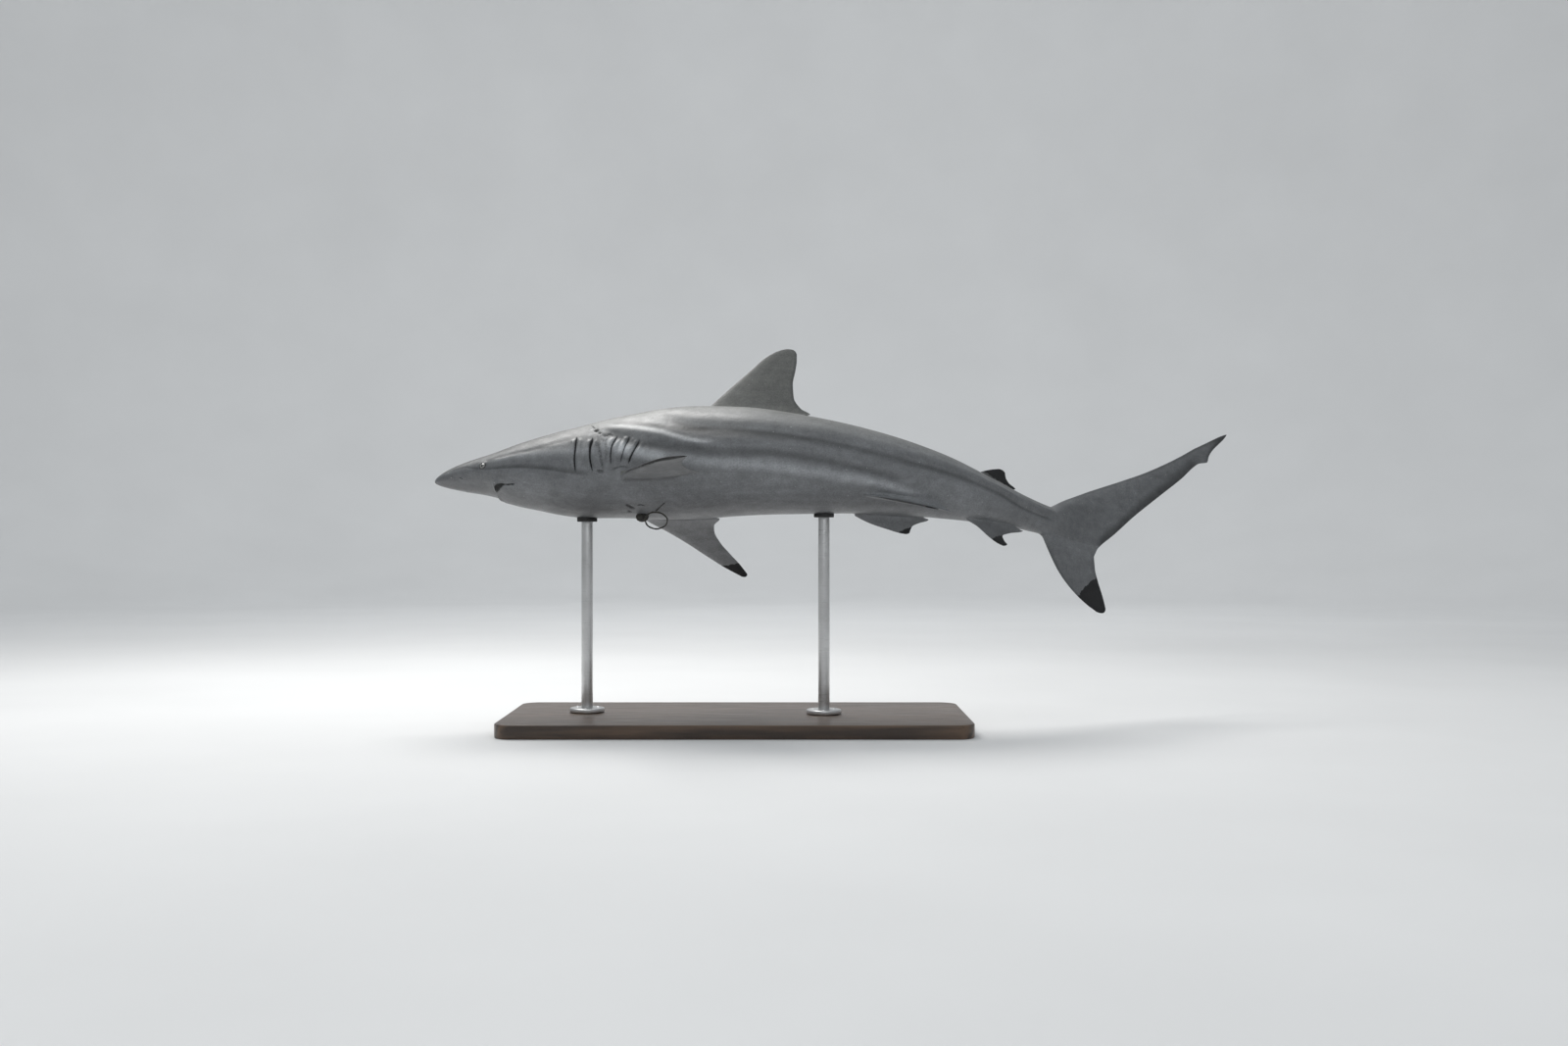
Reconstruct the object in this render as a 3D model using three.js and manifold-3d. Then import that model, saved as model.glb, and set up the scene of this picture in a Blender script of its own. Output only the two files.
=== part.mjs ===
// A spinner shark two metres long, as a still life-size model on a plain display stand.
//
// Millimetres, +Z up. The origin is the middle of the stand's underside. The head points
// along -X and the shark's left side faces -Y.
//
// The shark is drawn straight first, in (s, y, z): s runs back from the tip of the snout,
// y is positive to the shark's left and z is up from the backbone. bend() then sweeps that
// space along the curved backbone and rolls it, so that the belly turns towards -Y.

import * as THREE from "three";
import { mergeVertices } from "three/addons/utils/BufferGeometryUtils.js";
import Module from "manifold-3d";

const wasm = await Module();
wasm.setup();

// ---------------------------------------------------------------- driving dimensions

const GAP = 0.35; // clearance between neighbouring solids
const BODY_COLUMNS = 28; // points round the body
const FIN_CHORD = [0, 0.04, 0.14, 0.32, 0.54, 0.76, 0.92, 1]; // points across a fin
const FIN_EDGE = 0.35; // half thickness of a fin's edges
const OVAL_END = 0.22; // the tail's section is an oval at its root and a foil from here on
const WELD = 1e-3; // vertices nearer to each other than this are one

// The pose: the backbone's heading in degrees at stations along it, positive to +Y.
const HEADING = [
  [0, -2], [300, -3], [480, -5], [650, -6], [850, 5], [1050, 21],
  [1250, 34], [1400, 36], [1500, 30], [1600, 21], [1750, 15], [2100, 12],
];
const ROLL = THREE.MathUtils.degToRad(25);
const ANCHOR_STATION = 650; // this station of the backbone stands at ANCHOR
const ANCHOR = new THREE.Vector3(-15, -25, 560);

// The body: [station, middle height, depth, half width, widest level, roundness over and
// under]. A roundness of 2 is an ellipse, less is more pointed and more is more square.
const BODY = [
  [0, -8, 0, 0, -8, 2.0, 2.0],
  [12, -4, 21, 16, -6, 2.0, 2.1],
  [60, 3.6, 52, 41, -4, 2.0, 2.2],
  [120, 8.6, 78, 61, -2, 2.0, 2.4],
  [200, 8.6, 135.5, 82, 0, 2.0, 2.3],
  [300, 10.6, 189.5, 100, 2, 1.95, 2.15],
  [420, 23, 225, 112, 4, 1.9, 2.1],
  [560, 28, 250, 120, 6, 1.85, 2.1],
  [680, 25, 238, 120, 8, 1.85, 2.1],
  [820, 12, 212, 111, 8, 1.85, 2.1],
  [980, 1, 174, 92, 6, 1.9, 2.1],
  [1120, -5, 142, 70, 4, 1.9, 2.1],
  [1260, -8, 101, 48, 0, 1.95, 2.1],
  [1380, -8, 75, 33, -2, 2.0, 2.0],
  [1460, -6, 67, 27, -2, 2.0, 2.0],
  [1500, -2, 66, 24, 0, 2.0, 2.0],
];

// Where the body is parted.
const GILLS_FROM = 300;
const TRUNK_FROM = 478;
const TRUNK_MIDDLE = 770;
const TAIL_FROM = 1120;
const CAUDAL_FROM = 1448;

// Fins: rows of [t, leading edge s and z, trailing edge s and z, thickness], from inside
// the body (t = 0) to the tip (t = 1). On paired fins the pair is (chord, span).
const FIRST_DORSAL = [
  [0, 582, 120, 748, 108, 26],
  [0.1, 595, 151, 828, 131, 20],
  [0.22, 617, 174, 805, 149, 16],
  [0.4, 652, 208, 790, 176, 13],
  [0.6, 694, 248, 788, 211, 10],
  [0.78, 730, 282, 794, 246, 7],
  [0.91, 757, 297, 797, 273, 4.5],
  [1, 781, 303, 797, 294, 2.4],
];
const SECOND_DORSAL = [
  [0, 1204, 30, 1284, 20, 10],
  [0.15, 1218, 47, 1346, 46, 8],
  [0.4, 1248, 65, 1326, 57, 6],
  [0.7, 1272, 76, 1317, 70, 4],
  [1, 1302, 87, 1316, 83, 1.6],
];
const ANAL = [
  [0, 1178, -42, 1268, -36, 10],
  [0.15, 1188, -66, 1362, -52, 8],
  [0.35, 1222, -78, 1318, -71, 6.5],
  [0.6, 1256, -96, 1296, -84, 5],
  [0.8, 1280, -105, 1301, -94, 3],
  [1, 1299, -108, 1311, -101, 1.6],
];
const LOWER_CAUDAL = [
  [0, 1402, -18, 1560, 4, 24],
  [0.1, 1418, -42, 1583, -40, 17],
  [0.25, 1436, -78, 1571, -72, 14],
  [0.45, 1462, -124, 1571, -100, 11],
  [0.65, 1494, -160, 1576, -130, 8],
  [0.85, 1538, -193, 1586, -170, 5],
  [1, 1574, -212, 1592, -204, 2],
];
const UPPER_CAUDAL = [
  [0, 1448, 27.8, 1448, -40.4, 55.6],
  [0.05, 1468, 41, 1474, -42, 47],
  [0.1, 1495, 58, 1505, -44, 40],
  [0.15, 1528, 76, 1545, -46, 32],
  [0.22, 1560, 93, 1583, -46, 25],
  [0.24, 1567.5, 97, 1591, -38, 24],
  [0.34, 1605, 115, 1628, -6, 20],
  [0.48, 1665, 143, 1690, 53, 16],
  [0.62, 1730, 174, 1765, 118, 12],
  [0.76, 1800, 213, 1828, 172, 9],
  [0.86, 1847, 242.5, 1867, 210, 7],
  [0.885, 1858, 250, 1879, 218.5, 6.5],
  [0.915, 1870, 258, 1902, 225, 6],
  [0.93, 1884, 266, 1907, 240, 5.5],
  [1, 1961, 311, 1965, 306, 2],
];
const PECTORAL = [
  [0, -22, -38, 98, -38, 28],
  [0.08, 2, 2, 122, 2, 22],
  [0.14, 16, 15, 190, 16, 18],
  [0.24, 36, 37, 174, 41, 15],
  [0.38, 65, 65, 171, 68, 12],
  [0.54, 101, 103, 179, 104, 10],
  [0.7, 138, 145, 195, 140, 8],
  [0.85, 175, 183, 213, 175, 5.5],
  [1, 217, 217, 228, 209, 2.2],
];
const PECTORAL_SPAN = 218;
const PECTORAL_ARCH = 7; // the middle of the span stands this far above the fin's plane
const PELVIC = [
  [0, -24, -22, 120, -22, 14],
  [0.1, -10, 0, 188, -5, 11],
  [0.2, 9, 10, 183, 1, 9],
  [0.4, 43, 22, 163, 8.5, 7],
  [0.65, 86, 31, 145, 19, 5],
  [0.85, 116, 36, 142, 28, 3.4],
  [1, 133, 37, 141, 34, 1.6],
];

// Paired fins: root station, angle of the root round the body, droop of the fin's plane
// below level, its pitch (rear edge down), and the turn in that plane that sweeps it back.
const PECTORAL_ROOT = { station: 424, angle: -33, droop: 17, pitch: 4 };
const PECTORAL_SWEEP = { left: -10, right: 1 };
const PELVIC_ROOT = {
  left: { station: 936, angle: -62, droop: 32, pitch: 3 },
  right: { station: 936, angle: -62, droop: 66, pitch: -3 },
};

// The mouth: an arch in plan, cut up into the underside of the head. Its block reaches down
// to a floor below the jaw, and fullness is how square the arch is.
const MOUTH = {
  front: 142, corner: 198, halfWidth: 58, back: 262, frontTop: -22, backTop: -34, floor: -160, fullness: 0.62,
};

const EYE = { station: 119, side: 53.6, height: -0.7, radius: 10 };

// Gill slits: [station at the top, station at the foot, top angle, foot angle] of each.
const GILL_SLITS = [
  [326, 327, 25, -26],
  [361, 364, 20, -27],
  [416, 405, 17, -24],
  [446, 428, 14, -20],
  [468, 447, 9, -18],
];
// Each slit is widest at its middle and endShare of that at its ends; its blade stands proud.
const SLIT = { width: 1.6, endShare: 0.35, depth: 5, proud: 3, steps: 4 };

// Fishing tackle caught in the skin of the throat: a wire ring and its knot, placed in the
// posed frame, and a straight spur that lies on the skin between two (station, angle)s.
const RING = { at: [-173.5, -46, 451.3], radius: 24, wire: 1.7, lean: 42, turn: -15 };
const KNOT = { at: [-204.5, -36, 458.5], size: [14, 10, 10.5] };
const SPUR = { from: [492, -86], to: [516, -71], radius: 1.4, tipRadius: 0.7 };

// The stand: a flat base, two rods with their feet, and a pad under the belly on each.
const BASE = { length: 1000, width: 440, height: 30, corner: 40, bevel: 3 };
const RODS = [
  ["front", -330],
  ["rear", 190],
];
const ROD_RADIUS = 12.5;
const FOOT = { radius: 38, height: 10, rim: 3 };
const PAD = { radius: 22, height: 16 };

// ---------------------------------------------------------------- curves and the pose

// A smooth curve through [x, value] knots that never overshoots them.
function smoothCurve(knots) {
  const span = knots.slice(1).map((k, i) => k[0] - knots[i][0]);
  const rise = knots.slice(1).map((k, i) => (k[1] - knots[i][1]) / span[i]);
  const slope = knots.map((_, i) => {
    if (i === 0) return rise[0];
    if (i === knots.length - 1) return rise[i - 1];
    if (rise[i - 1] * rise[i] <= 0) return 0;
    const before = 2 * span[i] + span[i - 1];
    const after = span[i] + 2 * span[i - 1];
    return (before + after) / (before / rise[i - 1] + after / rise[i]);
  });
  return (x) => {
    let i = 0;
    while (i < span.length - 1 && x >= knots[i + 1][0]) i += 1;
    const t = THREE.MathUtils.clamp((x - knots[i][0]) / span[i], 0, 1);
    const u = 1 - t;
    const ends = knots[i][1] * (1 + 2 * t) * u * u + knots[i + 1][1] * t * t * (3 - 2 * t);
    return ends + span[i] * t * u * (slope[i] * u - slope[i + 1] * t);
  };
}

// One smooth curve for each column of a table whose first column is the parameter.
function smoothColumns(table) {
  return table[0].slice(1).map((_, j) => smoothCurve(table.map((row) => [row[0], row[j + 1]])));
}

const headingAt = smoothCurve(HEADING);
const PATH_STEP = 2;
const PATH_END = 2100;
const path = [{ x: 0, y: 0 }];
for (let s = 0; s < PATH_END; s += PATH_STEP) {
  const heading = THREE.MathUtils.degToRad(headingAt(s + PATH_STEP / 2));
  const last = path[path.length - 1];
  path.push({ x: last.x + PATH_STEP * Math.cos(heading), y: last.y + PATH_STEP * Math.sin(heading) });
}

// The backbone's place at a station; it runs straight on in front of the snout.
function backbone(s) {
  const step = THREE.MathUtils.clamp(s / PATH_STEP, 0, path.length - 1.001);
  const i = Math.floor(step);
  const t = s < 0 ? s / PATH_STEP : step - i;
  const a = path[i];
  const b = path[i + 1];
  return { x: a.x + (b.x - a.x) * t, y: a.y + (b.y - a.y) * t };
}

const anchor = backbone(ANCHOR_STATION);

// From the straight shark to the posed one.
function bend(s, y, z) {
  const heading = THREE.MathUtils.degToRad(headingAt(s));
  const at = backbone(s);
  const x = at.x - anchor.x + y * Math.sin(heading);
  const across = at.y - anchor.y - y * Math.cos(heading);
  const rolledY = across * Math.cos(ROLL) + z * Math.sin(ROLL);
  const rolledZ = z * Math.cos(ROLL) - across * Math.sin(ROLL);
  return new THREE.Vector3(x + ANCHOR.x, rolledY + ANCHOR.y, rolledZ + ANCHOR.z);
}

// ---------------------------------------------------------------- solids from rings

// A closed mesh through rings with equal numbers of points; an end is a flat cap, or
// comes to a point when its ring has no size.
function loft(rings) {
  const count = rings[0].length;
  const positions = [];
  const triangles = [];
  rings.forEach((ring) => ring.forEach((p) => positions.push(p.x, p.y, p.z)));
  for (let r = 0; r + 1 < rings.length; r += 1) {
    for (let i = 0; i < count; i += 1) {
      const a = r * count + i;
      const b = r * count + ((i + 1) % count);
      triangles.push(a, b, b + count, a, b + count, a + count);
    }
  }
  [0, rings.length - 1].forEach((r) => {
    const middle = new THREE.Vector3();
    rings[r].forEach((p) => middle.addScaledVector(p, 1 / count));
    const centre = positions.length / 3;
    positions.push(middle.x, middle.y, middle.z);
    for (let i = 0; i < count; i += 1) {
      const a = r * count + i;
      const b = r * count + ((i + 1) % count);
      triangles.push(...(r === 0 ? [b, a, centre] : [a, b, centre]));
    }
  });
  return closed(positions, triangles);
}

// A geometry with merged vertices, no empty triangles and its faces pointing out.
function closed(positions, triangles) {
  const raw = new THREE.BufferGeometry();
  raw.setAttribute("position", new THREE.Float32BufferAttribute(positions, 3));
  raw.setIndex(triangles);
  const merged = mergeVertices(raw, WELD);
  const p = merged.attributes.position;
  const kept = [];
  let volume = 0;
  for (let i = 0; i < merged.index.count; i += 3) {
    const [a, b, c] = [0, 1, 2].map((k) => merged.index.getX(i + k));
    if (a === b || b === c || c === a) continue;
    kept.push([a, b, c]);
    const [u, v, w] = [a, b, c].map((k) => new THREE.Vector3().fromBufferAttribute(p, k));
    volume += u.dot(v.cross(w));
  }
  if (volume < 0) kept.forEach((t) => t.reverse());
  merged.setIndex(kept.flat());
  return merged;
}

function toManifold(geometry) {
  const bare = geometry.clone();
  bare.deleteAttribute("normal");
  bare.deleteAttribute("uv");
  const merged = mergeVertices(bare, WELD);
  const vertProperties = new Float32Array(merged.attributes.position.array);
  const triVerts = new Uint32Array(merged.index.array);
  return new wasm.Manifold(new wasm.Mesh({ numProp: 3, vertProperties, triVerts }));
}

function toGeometry(manifold) {
  const mesh = manifold.getMesh();
  const geometry = new THREE.BufferGeometry();
  geometry.setAttribute("position", new THREE.Float32BufferAttribute(mesh.vertProperties, 3));
  geometry.setIndex(Array.from(mesh.triVerts));
  return geometry;
}

function subtract(geometry, tools) {
  return toGeometry(tools.reduce((rest, tool) => rest.subtract(tool), toManifold(geometry)));
}

// ---------------------------------------------------------------- the body

const bodyCurves = smoothColumns(BODY.map((row) => [Math.sqrt(row[0]), ...row.slice(1)]));

// A point of the straight body's surface at an angle round it, 0 on the left side and
// 90 on top, moved out by grow.
function bodyPoint(s, angle, grow = 0) {
  const [middle, depth, halfWidth, level, over, under] = bodyCurves.map((f) => f(Math.sqrt(s)));
  const cos = Math.cos(angle);
  const sin = Math.sin(angle);
  const power = 2 / (sin >= 0 ? over : under);
  const reach = sin >= 0 ? middle + depth / 2 - level : level - middle + depth / 2;
  const y = (halfWidth + grow) * Math.sign(cos) * Math.abs(cos) ** power;
  const z = level + (reach + grow) * Math.sign(sin) * Math.abs(sin) ** power;
  return { s, y, z };
}

function bodyRing(s, grow) {
  const ring = [];
  for (let i = 0; i < BODY_COLUMNS; i += 1) {
    const p = bodyPoint(s, (2 * Math.PI * i) / BODY_COLUMNS, grow);
    ring.push(bend(p.s, p.y, p.z));
  }
  return ring;
}

// Stations of the rings: close together in the snout, then about 36 mm apart, with one
// at each place where the body is parted.
const SNOUT_STATIONS = [0, 3, 9, 19, 33, 50, 70, 92, 116, 142, 170, 200, 232, 265];
const SECTIONS = [GILLS_FROM, TRUNK_FROM, TRUNK_MIDDLE, TAIL_FROM, CAUDAL_FROM];
const RING_SPACING = 36;

function stations() {
  const list = [...SNOUT_STATIONS];
  SECTIONS.slice(1).forEach((end, i) => {
    const start = SECTIONS[i];
    const steps = Math.round((end - start) / RING_SPACING);
    for (let k = 0; k < steps; k += 1) list.push(start + ((end - start) * k) / steps);
  });
  list.push(CAUDAL_FROM);
  return list;
}

// The body from one station to another, a half gap short of each end that is a cut.
function bodyLength(from, to) {
  const inner = stations().filter((s) => s > from && s < to);
  const first = from > 0 ? from + GAP / 2 : 0;
  return loft([first, ...inner, to - GAP / 2].map((s) => bodyRing(s, 0)));
}

// The whole body a gap larger all round, which cuts the roots of the fins.
const bodyCutter = toManifold(loft([...stations(), CAUDAL_FROM + 1].map((s) => bodyRing(s, GAP))));

// ---------------------------------------------------------------- fins

// Half thickness across the chord: a foil, or an ellipse where round is 1.
function foil(x, round) {
  const blade = 2.6 * Math.sqrt(x) * (1 - x);
  const oval = 2 * Math.sqrt(x * (1 - x));
  return blade + (oval - blade) * round;
}

// A fin from its table. place() takes (chord, span, offset) to the straight shark, and
// round(t) says how oval the section is.
function fin(table, place, { grow = 0, round = () => 0 } = {}) {
  const curves = smoothColumns(table);
  const ribs = table.map(([t]) => {
    const [leadS, leadZ, trailS, trailZ, thickness] = curves.map((f) => f(t));
    const chord = Math.hypot(trailS - leadS, trailZ - leadZ);
    const side = (x, sign) => {
      const half = Math.max(FIN_EDGE, (thickness / 2) * foil(x, round(t))) + grow;
      const along = x + ((2 * x - 1) * grow) / chord;
      const s = leadS + (trailS - leadS) * along;
      const z = leadZ + (trailZ - leadZ) * along;
      return bend(...place(s, z, sign * half));
    };
    const over = FIN_CHORD.map((x) => side(x, 1));
    const under = FIN_CHORD.map((x) => side(x, -1)).reverse();
    return [...over, ...under];
  });
  return loft(ribs);
}

const onMidline = (s, z, offset) => [s, offset, z];

// The plane of a paired fin: side is 1 on the left and -1 on the right.
function finPlane(root, sweep, side, archAt = () => 0) {
  const droop = THREE.MathUtils.degToRad(root.droop);
  const pitch = THREE.MathUtils.degToRad(root.pitch);
  const turn = THREE.MathUtils.degToRad(sweep);
  const at = bodyPoint(root.station, THREE.MathUtils.degToRad(root.angle));
  return (chord, span, offset) => {
    const back = chord * Math.cos(turn) + span * Math.sin(turn);
    const out = span * Math.cos(turn) - chord * Math.sin(turn);
    const above = offset + archAt(span);
    const y = at.y + out * Math.cos(droop) + above * Math.sin(droop);
    const z = at.z - out * Math.sin(droop) + above * Math.cos(droop);
    return [root.station + back * Math.cos(pitch), side * y, z - back * Math.sin(pitch)];
  };
}

function pectoralArch(span) {
  const u = THREE.MathUtils.clamp(span / PECTORAL_SPAN, 0, 1);
  return 4 * PECTORAL_ARCH * u * (1 - u);
}

const ovalRoot = (t) => Math.max(0, 1 - t / OVAL_END);

function upperCaudal(grow) {
  const table = UPPER_CAUDAL.map((row) => [...row]);
  if (grow === 0) {
    table[0][1] += GAP / 2;
    table[0][3] += GAP / 2;
  }
  return fin(table, onMidline, { grow, round: ovalRoot });
}

// ---------------------------------------------------------------- details of the head

function mouthBlock(grow) {
  const { front, corner, halfWidth, back, frontTop, backTop, floor, fullness } = MOUTH;
  const bulge = halfWidth * fullness + grow;
  const outline = new THREE.Shape();
  outline.moveTo(back + grow, halfWidth + grow);
  outline.lineTo(corner, halfWidth + grow);
  outline.quadraticCurveTo(front - grow, bulge, front - grow, 0);
  outline.quadraticCurveTo(front - grow, -bulge, corner, -halfWidth - grow);
  outline.lineTo(back + grow, -halfWidth - grow);
  const block = new THREE.ExtrudeGeometry(outline, { depth: 1, bevelEnabled: false, curveSegments: 7 });
  const p = block.attributes.position;
  for (let i = 0; i < p.count; i += 1) {
    const s = p.getX(i);
    const top = frontTop + ((backTop - frontTop) * (s - front)) / (back - front) + grow;
    const at = bend(s, p.getY(i), p.getZ(i) > 0.5 ? top : floor);
    p.setXYZ(i, at.x, at.y, at.z);
  }
  block.deleteAttribute("normal");
  block.deleteAttribute("uv");
  const merged = mergeVertices(block, WELD);
  return toManifold(closed(Array.from(merged.attributes.position.array), Array.from(merged.index.array)));
}

function eyeBall(side, grow) {
  const ball = new THREE.SphereGeometry(EYE.radius + grow, 14, 9);
  const at = bend(EYE.station, side * EYE.side, EYE.height);
  return ball.translate(at.x, at.y, at.z);
}

// A gill slit: a thin curved blade that follows the body's side and reaches just into it.
function slitBlade([topStation, footStation, topAngle, footAngle], side) {
  const { width, endShare, depth, proud, steps } = SLIT;
  const rings = [];
  for (let k = 0; k <= steps; k += 1) {
    const t = k / steps;
    const s = THREE.MathUtils.lerp(topStation, footStation, t);
    const degrees = THREE.MathUtils.lerp(topAngle, footAngle, t);
    const angle = THREE.MathUtils.degToRad(degrees);
    const half = (width / 2) * (endShare + (1 - endShare) * Math.sin(Math.PI * t));
    const corner = (ds, grow) => {
      const p = bodyPoint(s + ds, angle, grow);
      return bend(p.s, side * p.y, p.z);
    };
    rings.push([corner(-half, proud), corner(half, proud), corner(half, -depth), corner(-half, -depth)]);
  }
  return toManifold(loft(rings));
}

// ---------------------------------------------------------------- the stand

function baseSlab() {
  const { length, width, height, corner, bevel } = BASE;
  const x = length / 2 - bevel;
  const y = width / 2 - bevel;
  const outline = new THREE.Shape();
  outline.moveTo(-x + corner, -y);
  outline.lineTo(x - corner, -y);
  outline.quadraticCurveTo(x, -y, x, -y + corner);
  outline.lineTo(x, y - corner);
  outline.quadraticCurveTo(x, y, x - corner, y);
  outline.lineTo(-x + corner, y);
  outline.quadraticCurveTo(-x, y, -x, y - corner);
  outline.lineTo(-x, -y + corner);
  outline.quadraticCurveTo(-x, -y, -x + corner, -y);
  const bevels = { bevelThickness: bevel, bevelSize: bevel, bevelSegments: 2, curveSegments: 6 };
  return new THREE.ExtrudeGeometry(outline, { depth: height - 2 * bevel, ...bevels })
    .translate(0, 0, bevel);
}

// The belly's lowest point over a place along the base.
function bellyOver(x) {
  let s = 0;
  while (bend(s, 0, 0).x < x) s += 1;
  let lowest = bend(s, 0, 0);
  for (let degrees = -180; degrees < 0; degrees += 2) {
    const p = bodyPoint(s, THREE.MathUtils.degToRad(degrees));
    const at = bend(p.s, p.y, p.z);
    if (at.z < lowest.z) lowest = at;
  }
  return lowest;
}

function upright(radius, from, to, x, y, sides = 20) {
  const cylinder = new THREE.CylinderGeometry(radius, radius, to - from, sides);
  return cylinder.rotateX(Math.PI / 2).translate(x, y, (from + to) / 2);
}

function foot(x, y) {
  const { radius, height, rim } = FOOT;
  const bore = ROD_RADIUS + GAP;
  const profile = [
    [bore, 0], [radius, 0], [radius, height - rim], [radius - rim, height], [bore, height], [bore, 0],
  ].map(([r, z]) => new THREE.Vector2(r, z));
  const ring = new THREE.LatheGeometry(profile, 20).rotateX(Math.PI / 2);
  return ring.translate(x, y, BASE.height + GAP);
}

// ---------------------------------------------------------------- the tackle in the skin

function wireRing(grow) {
  const ring = new THREE.TorusGeometry(RING.radius, RING.wire + grow, 6, 28);
  ring.rotateZ(THREE.MathUtils.degToRad(RING.turn));
  ring.rotateX(Math.PI / 2 + THREE.MathUtils.degToRad(RING.lean));
  return ring.translate(...RING.at);
}

function knot() {
  return new THREE.SphereGeometry(1, 14, 9).scale(...KNOT.size).translate(...KNOT.at);
}

function spur() {
  const [from, to] = [SPUR.from, SPUR.to].map(([s, degrees]) => {
    const p = bodyPoint(s, THREE.MathUtils.degToRad(degrees), SPUR.radius);
    return bend(p.s, p.y, p.z);
  });
  const length = from.distanceTo(to);
  const rod = new THREE.CylinderGeometry(SPUR.tipRadius, SPUR.radius, length, 8);
  const along = to.clone().sub(from).normalize();
  const turn = new THREE.Quaternion().setFromUnitVectors(new THREE.Vector3(0, 1, 0), along);
  const middle = from.clone().lerp(to, 0.5);
  return rod.applyQuaternion(turn).translate(middle.x, middle.y, middle.z);
}

// ---------------------------------------------------------------- materials and the group

function finish(colour, roughness, metalness = 0) {
  return new THREE.MeshStandardMaterial({ color: colour, roughness, metalness });
}

const skin = finish(0x6f7377, 0.5);
const darkSkin = finish(0x4c4f53, 0.5);
const eyeGloss = finish(0x16181a, 0.1);
const wire = finish(0x2a2b2d, 0.4, 0.6);
const wood = finish(0x4a3526, 0.45);
const steel = finish(0xb8bbbe, 0.3, 1);
const rubber = finish(0x1b1c1e, 0.8);

const model = new THREE.Group();

function add(name, geometry, material) {
  const mesh = new THREE.Mesh(geometry, material);
  mesh.name = name;
  model.add(mesh);
}

const eyeSockets = [1, -1].map((side) => toManifold(eyeBall(side, GAP)));
add("head", subtract(bodyLength(0, GILLS_FROM), [mouthBlock(GAP), ...eyeSockets]), skin);
const jaw = toManifold(bodyLength(0, GILLS_FROM)).intersect(mouthBlock(0));
add("lower_jaw", toGeometry(jaw), skin);
add("eye_left", eyeBall(1, 0), eyeGloss);
add("eye_right", eyeBall(-1, 0), eyeGloss);

const blades = [1, -1].flatMap((side) => GILL_SLITS.map((row) => slitBlade(row, side)));
add("gill_region", subtract(bodyLength(GILLS_FROM, TRUNK_FROM), blades), skin);
add("trunk_front", bodyLength(TRUNK_FROM, TRUNK_MIDDLE), skin);
add("trunk_rear", bodyLength(TRUNK_MIDDLE, TAIL_FROM), skin);
add("tail_stem", bodyLength(TAIL_FROM, CAUDAL_FROM), skin);

const caudalCutter = toManifold(upperCaudal(GAP));
add("caudal_fin_upper", upperCaudal(0), darkSkin);
add("caudal_fin_lower", subtract(fin(LOWER_CAUDAL, onMidline), [bodyCutter, caudalCutter]), darkSkin);
add("dorsal_fin_first", subtract(fin(FIRST_DORSAL, onMidline), [bodyCutter]), darkSkin);
add("dorsal_fin_second", subtract(fin(SECOND_DORSAL, onMidline), [bodyCutter]), darkSkin);
add("anal_fin", subtract(fin(ANAL, onMidline), [bodyCutter]), darkSkin);
[["left", 1], ["right", -1]].forEach(([name, side]) => {
  const pectoral = fin(PECTORAL, finPlane(PECTORAL_ROOT, PECTORAL_SWEEP[name], side, pectoralArch));
  const pelvic = fin(PELVIC, finPlane(PELVIC_ROOT[name], 0, side));
  add(`pectoral_fin_${name}`, subtract(pectoral, [bodyCutter]), darkSkin);
  add(`pelvic_fin_${name}`, subtract(pelvic, [bodyCutter]), darkSkin);
});

const ringCutter = toManifold(wireRing(GAP));
add("snare_ring", subtract(wireRing(0), [bodyCutter]), wire);
add("snare_knot", subtract(knot(), [bodyCutter, ringCutter]), wire);
add("snare_spur", subtract(spur(), [bodyCutter, ringCutter]), wire);

add("stand_base", baseSlab(), wood);
RODS.forEach(([name, x]) => {
  const belly = bellyOver(x);
  const padTop = belly.z + PAD.height;
  const padFoot = belly.z - PAD.height / 2;
  const rod = upright(ROD_RADIUS, BASE.height + GAP, padFoot - GAP, x, belly.y);
  const pad = upright(PAD.radius, padFoot, padTop, x, belly.y);
  add(`stand_foot_${name}`, foot(x, belly.y), steel);
  add(`stand_rod_${name}`, rod, steel);
  add(`stand_pad_${name}`, subtract(pad, [bodyCutter]), rubber);
});

export default model;
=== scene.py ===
"""The looks of a two-metre spinner shark, a still life-size model on a plain display stand.

The skin is one mesh. It is drawn straight first, in (s, y, z) and millimetres, as the CAD part
is: s runs back from the tip of the snout, y is positive to the shark's left and z is up from the
backbone. The body is a grid of rings and columns. Each fin and each eye socket grows out of a
hole in that grid, so the skin has no seam. bend() then sweeps it along the backbone and rolls it.
"""

import math

import bpy
import numpy as np
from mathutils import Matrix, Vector


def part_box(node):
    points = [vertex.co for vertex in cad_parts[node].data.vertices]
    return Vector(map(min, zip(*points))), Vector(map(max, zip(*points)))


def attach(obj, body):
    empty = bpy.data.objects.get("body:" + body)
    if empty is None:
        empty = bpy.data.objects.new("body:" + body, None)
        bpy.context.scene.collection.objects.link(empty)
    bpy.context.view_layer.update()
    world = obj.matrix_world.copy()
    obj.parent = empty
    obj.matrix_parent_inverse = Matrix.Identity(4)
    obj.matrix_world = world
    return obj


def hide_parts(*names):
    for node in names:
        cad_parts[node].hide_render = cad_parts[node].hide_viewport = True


MM = 0.001

# ---------------- the shark's driving dimensions

# The pose: the backbone's heading in degrees at stations along it, positive to +Y.
HEADING = [
    (0, -2), (300, -3), (480, -5), (650, -6), (850, 5), (1050, 21),
    (1250, 34), (1400, 36), (1500, 30), (1600, 21), (1750, 15), (2100, 12),
]
ROLL = math.radians(25)
ANCHOR_STATION = 650
ANCHOR = np.array([-15.0, -25.0, 560.0])
PATH_STEP = 2
PATH_END = 2100

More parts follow.
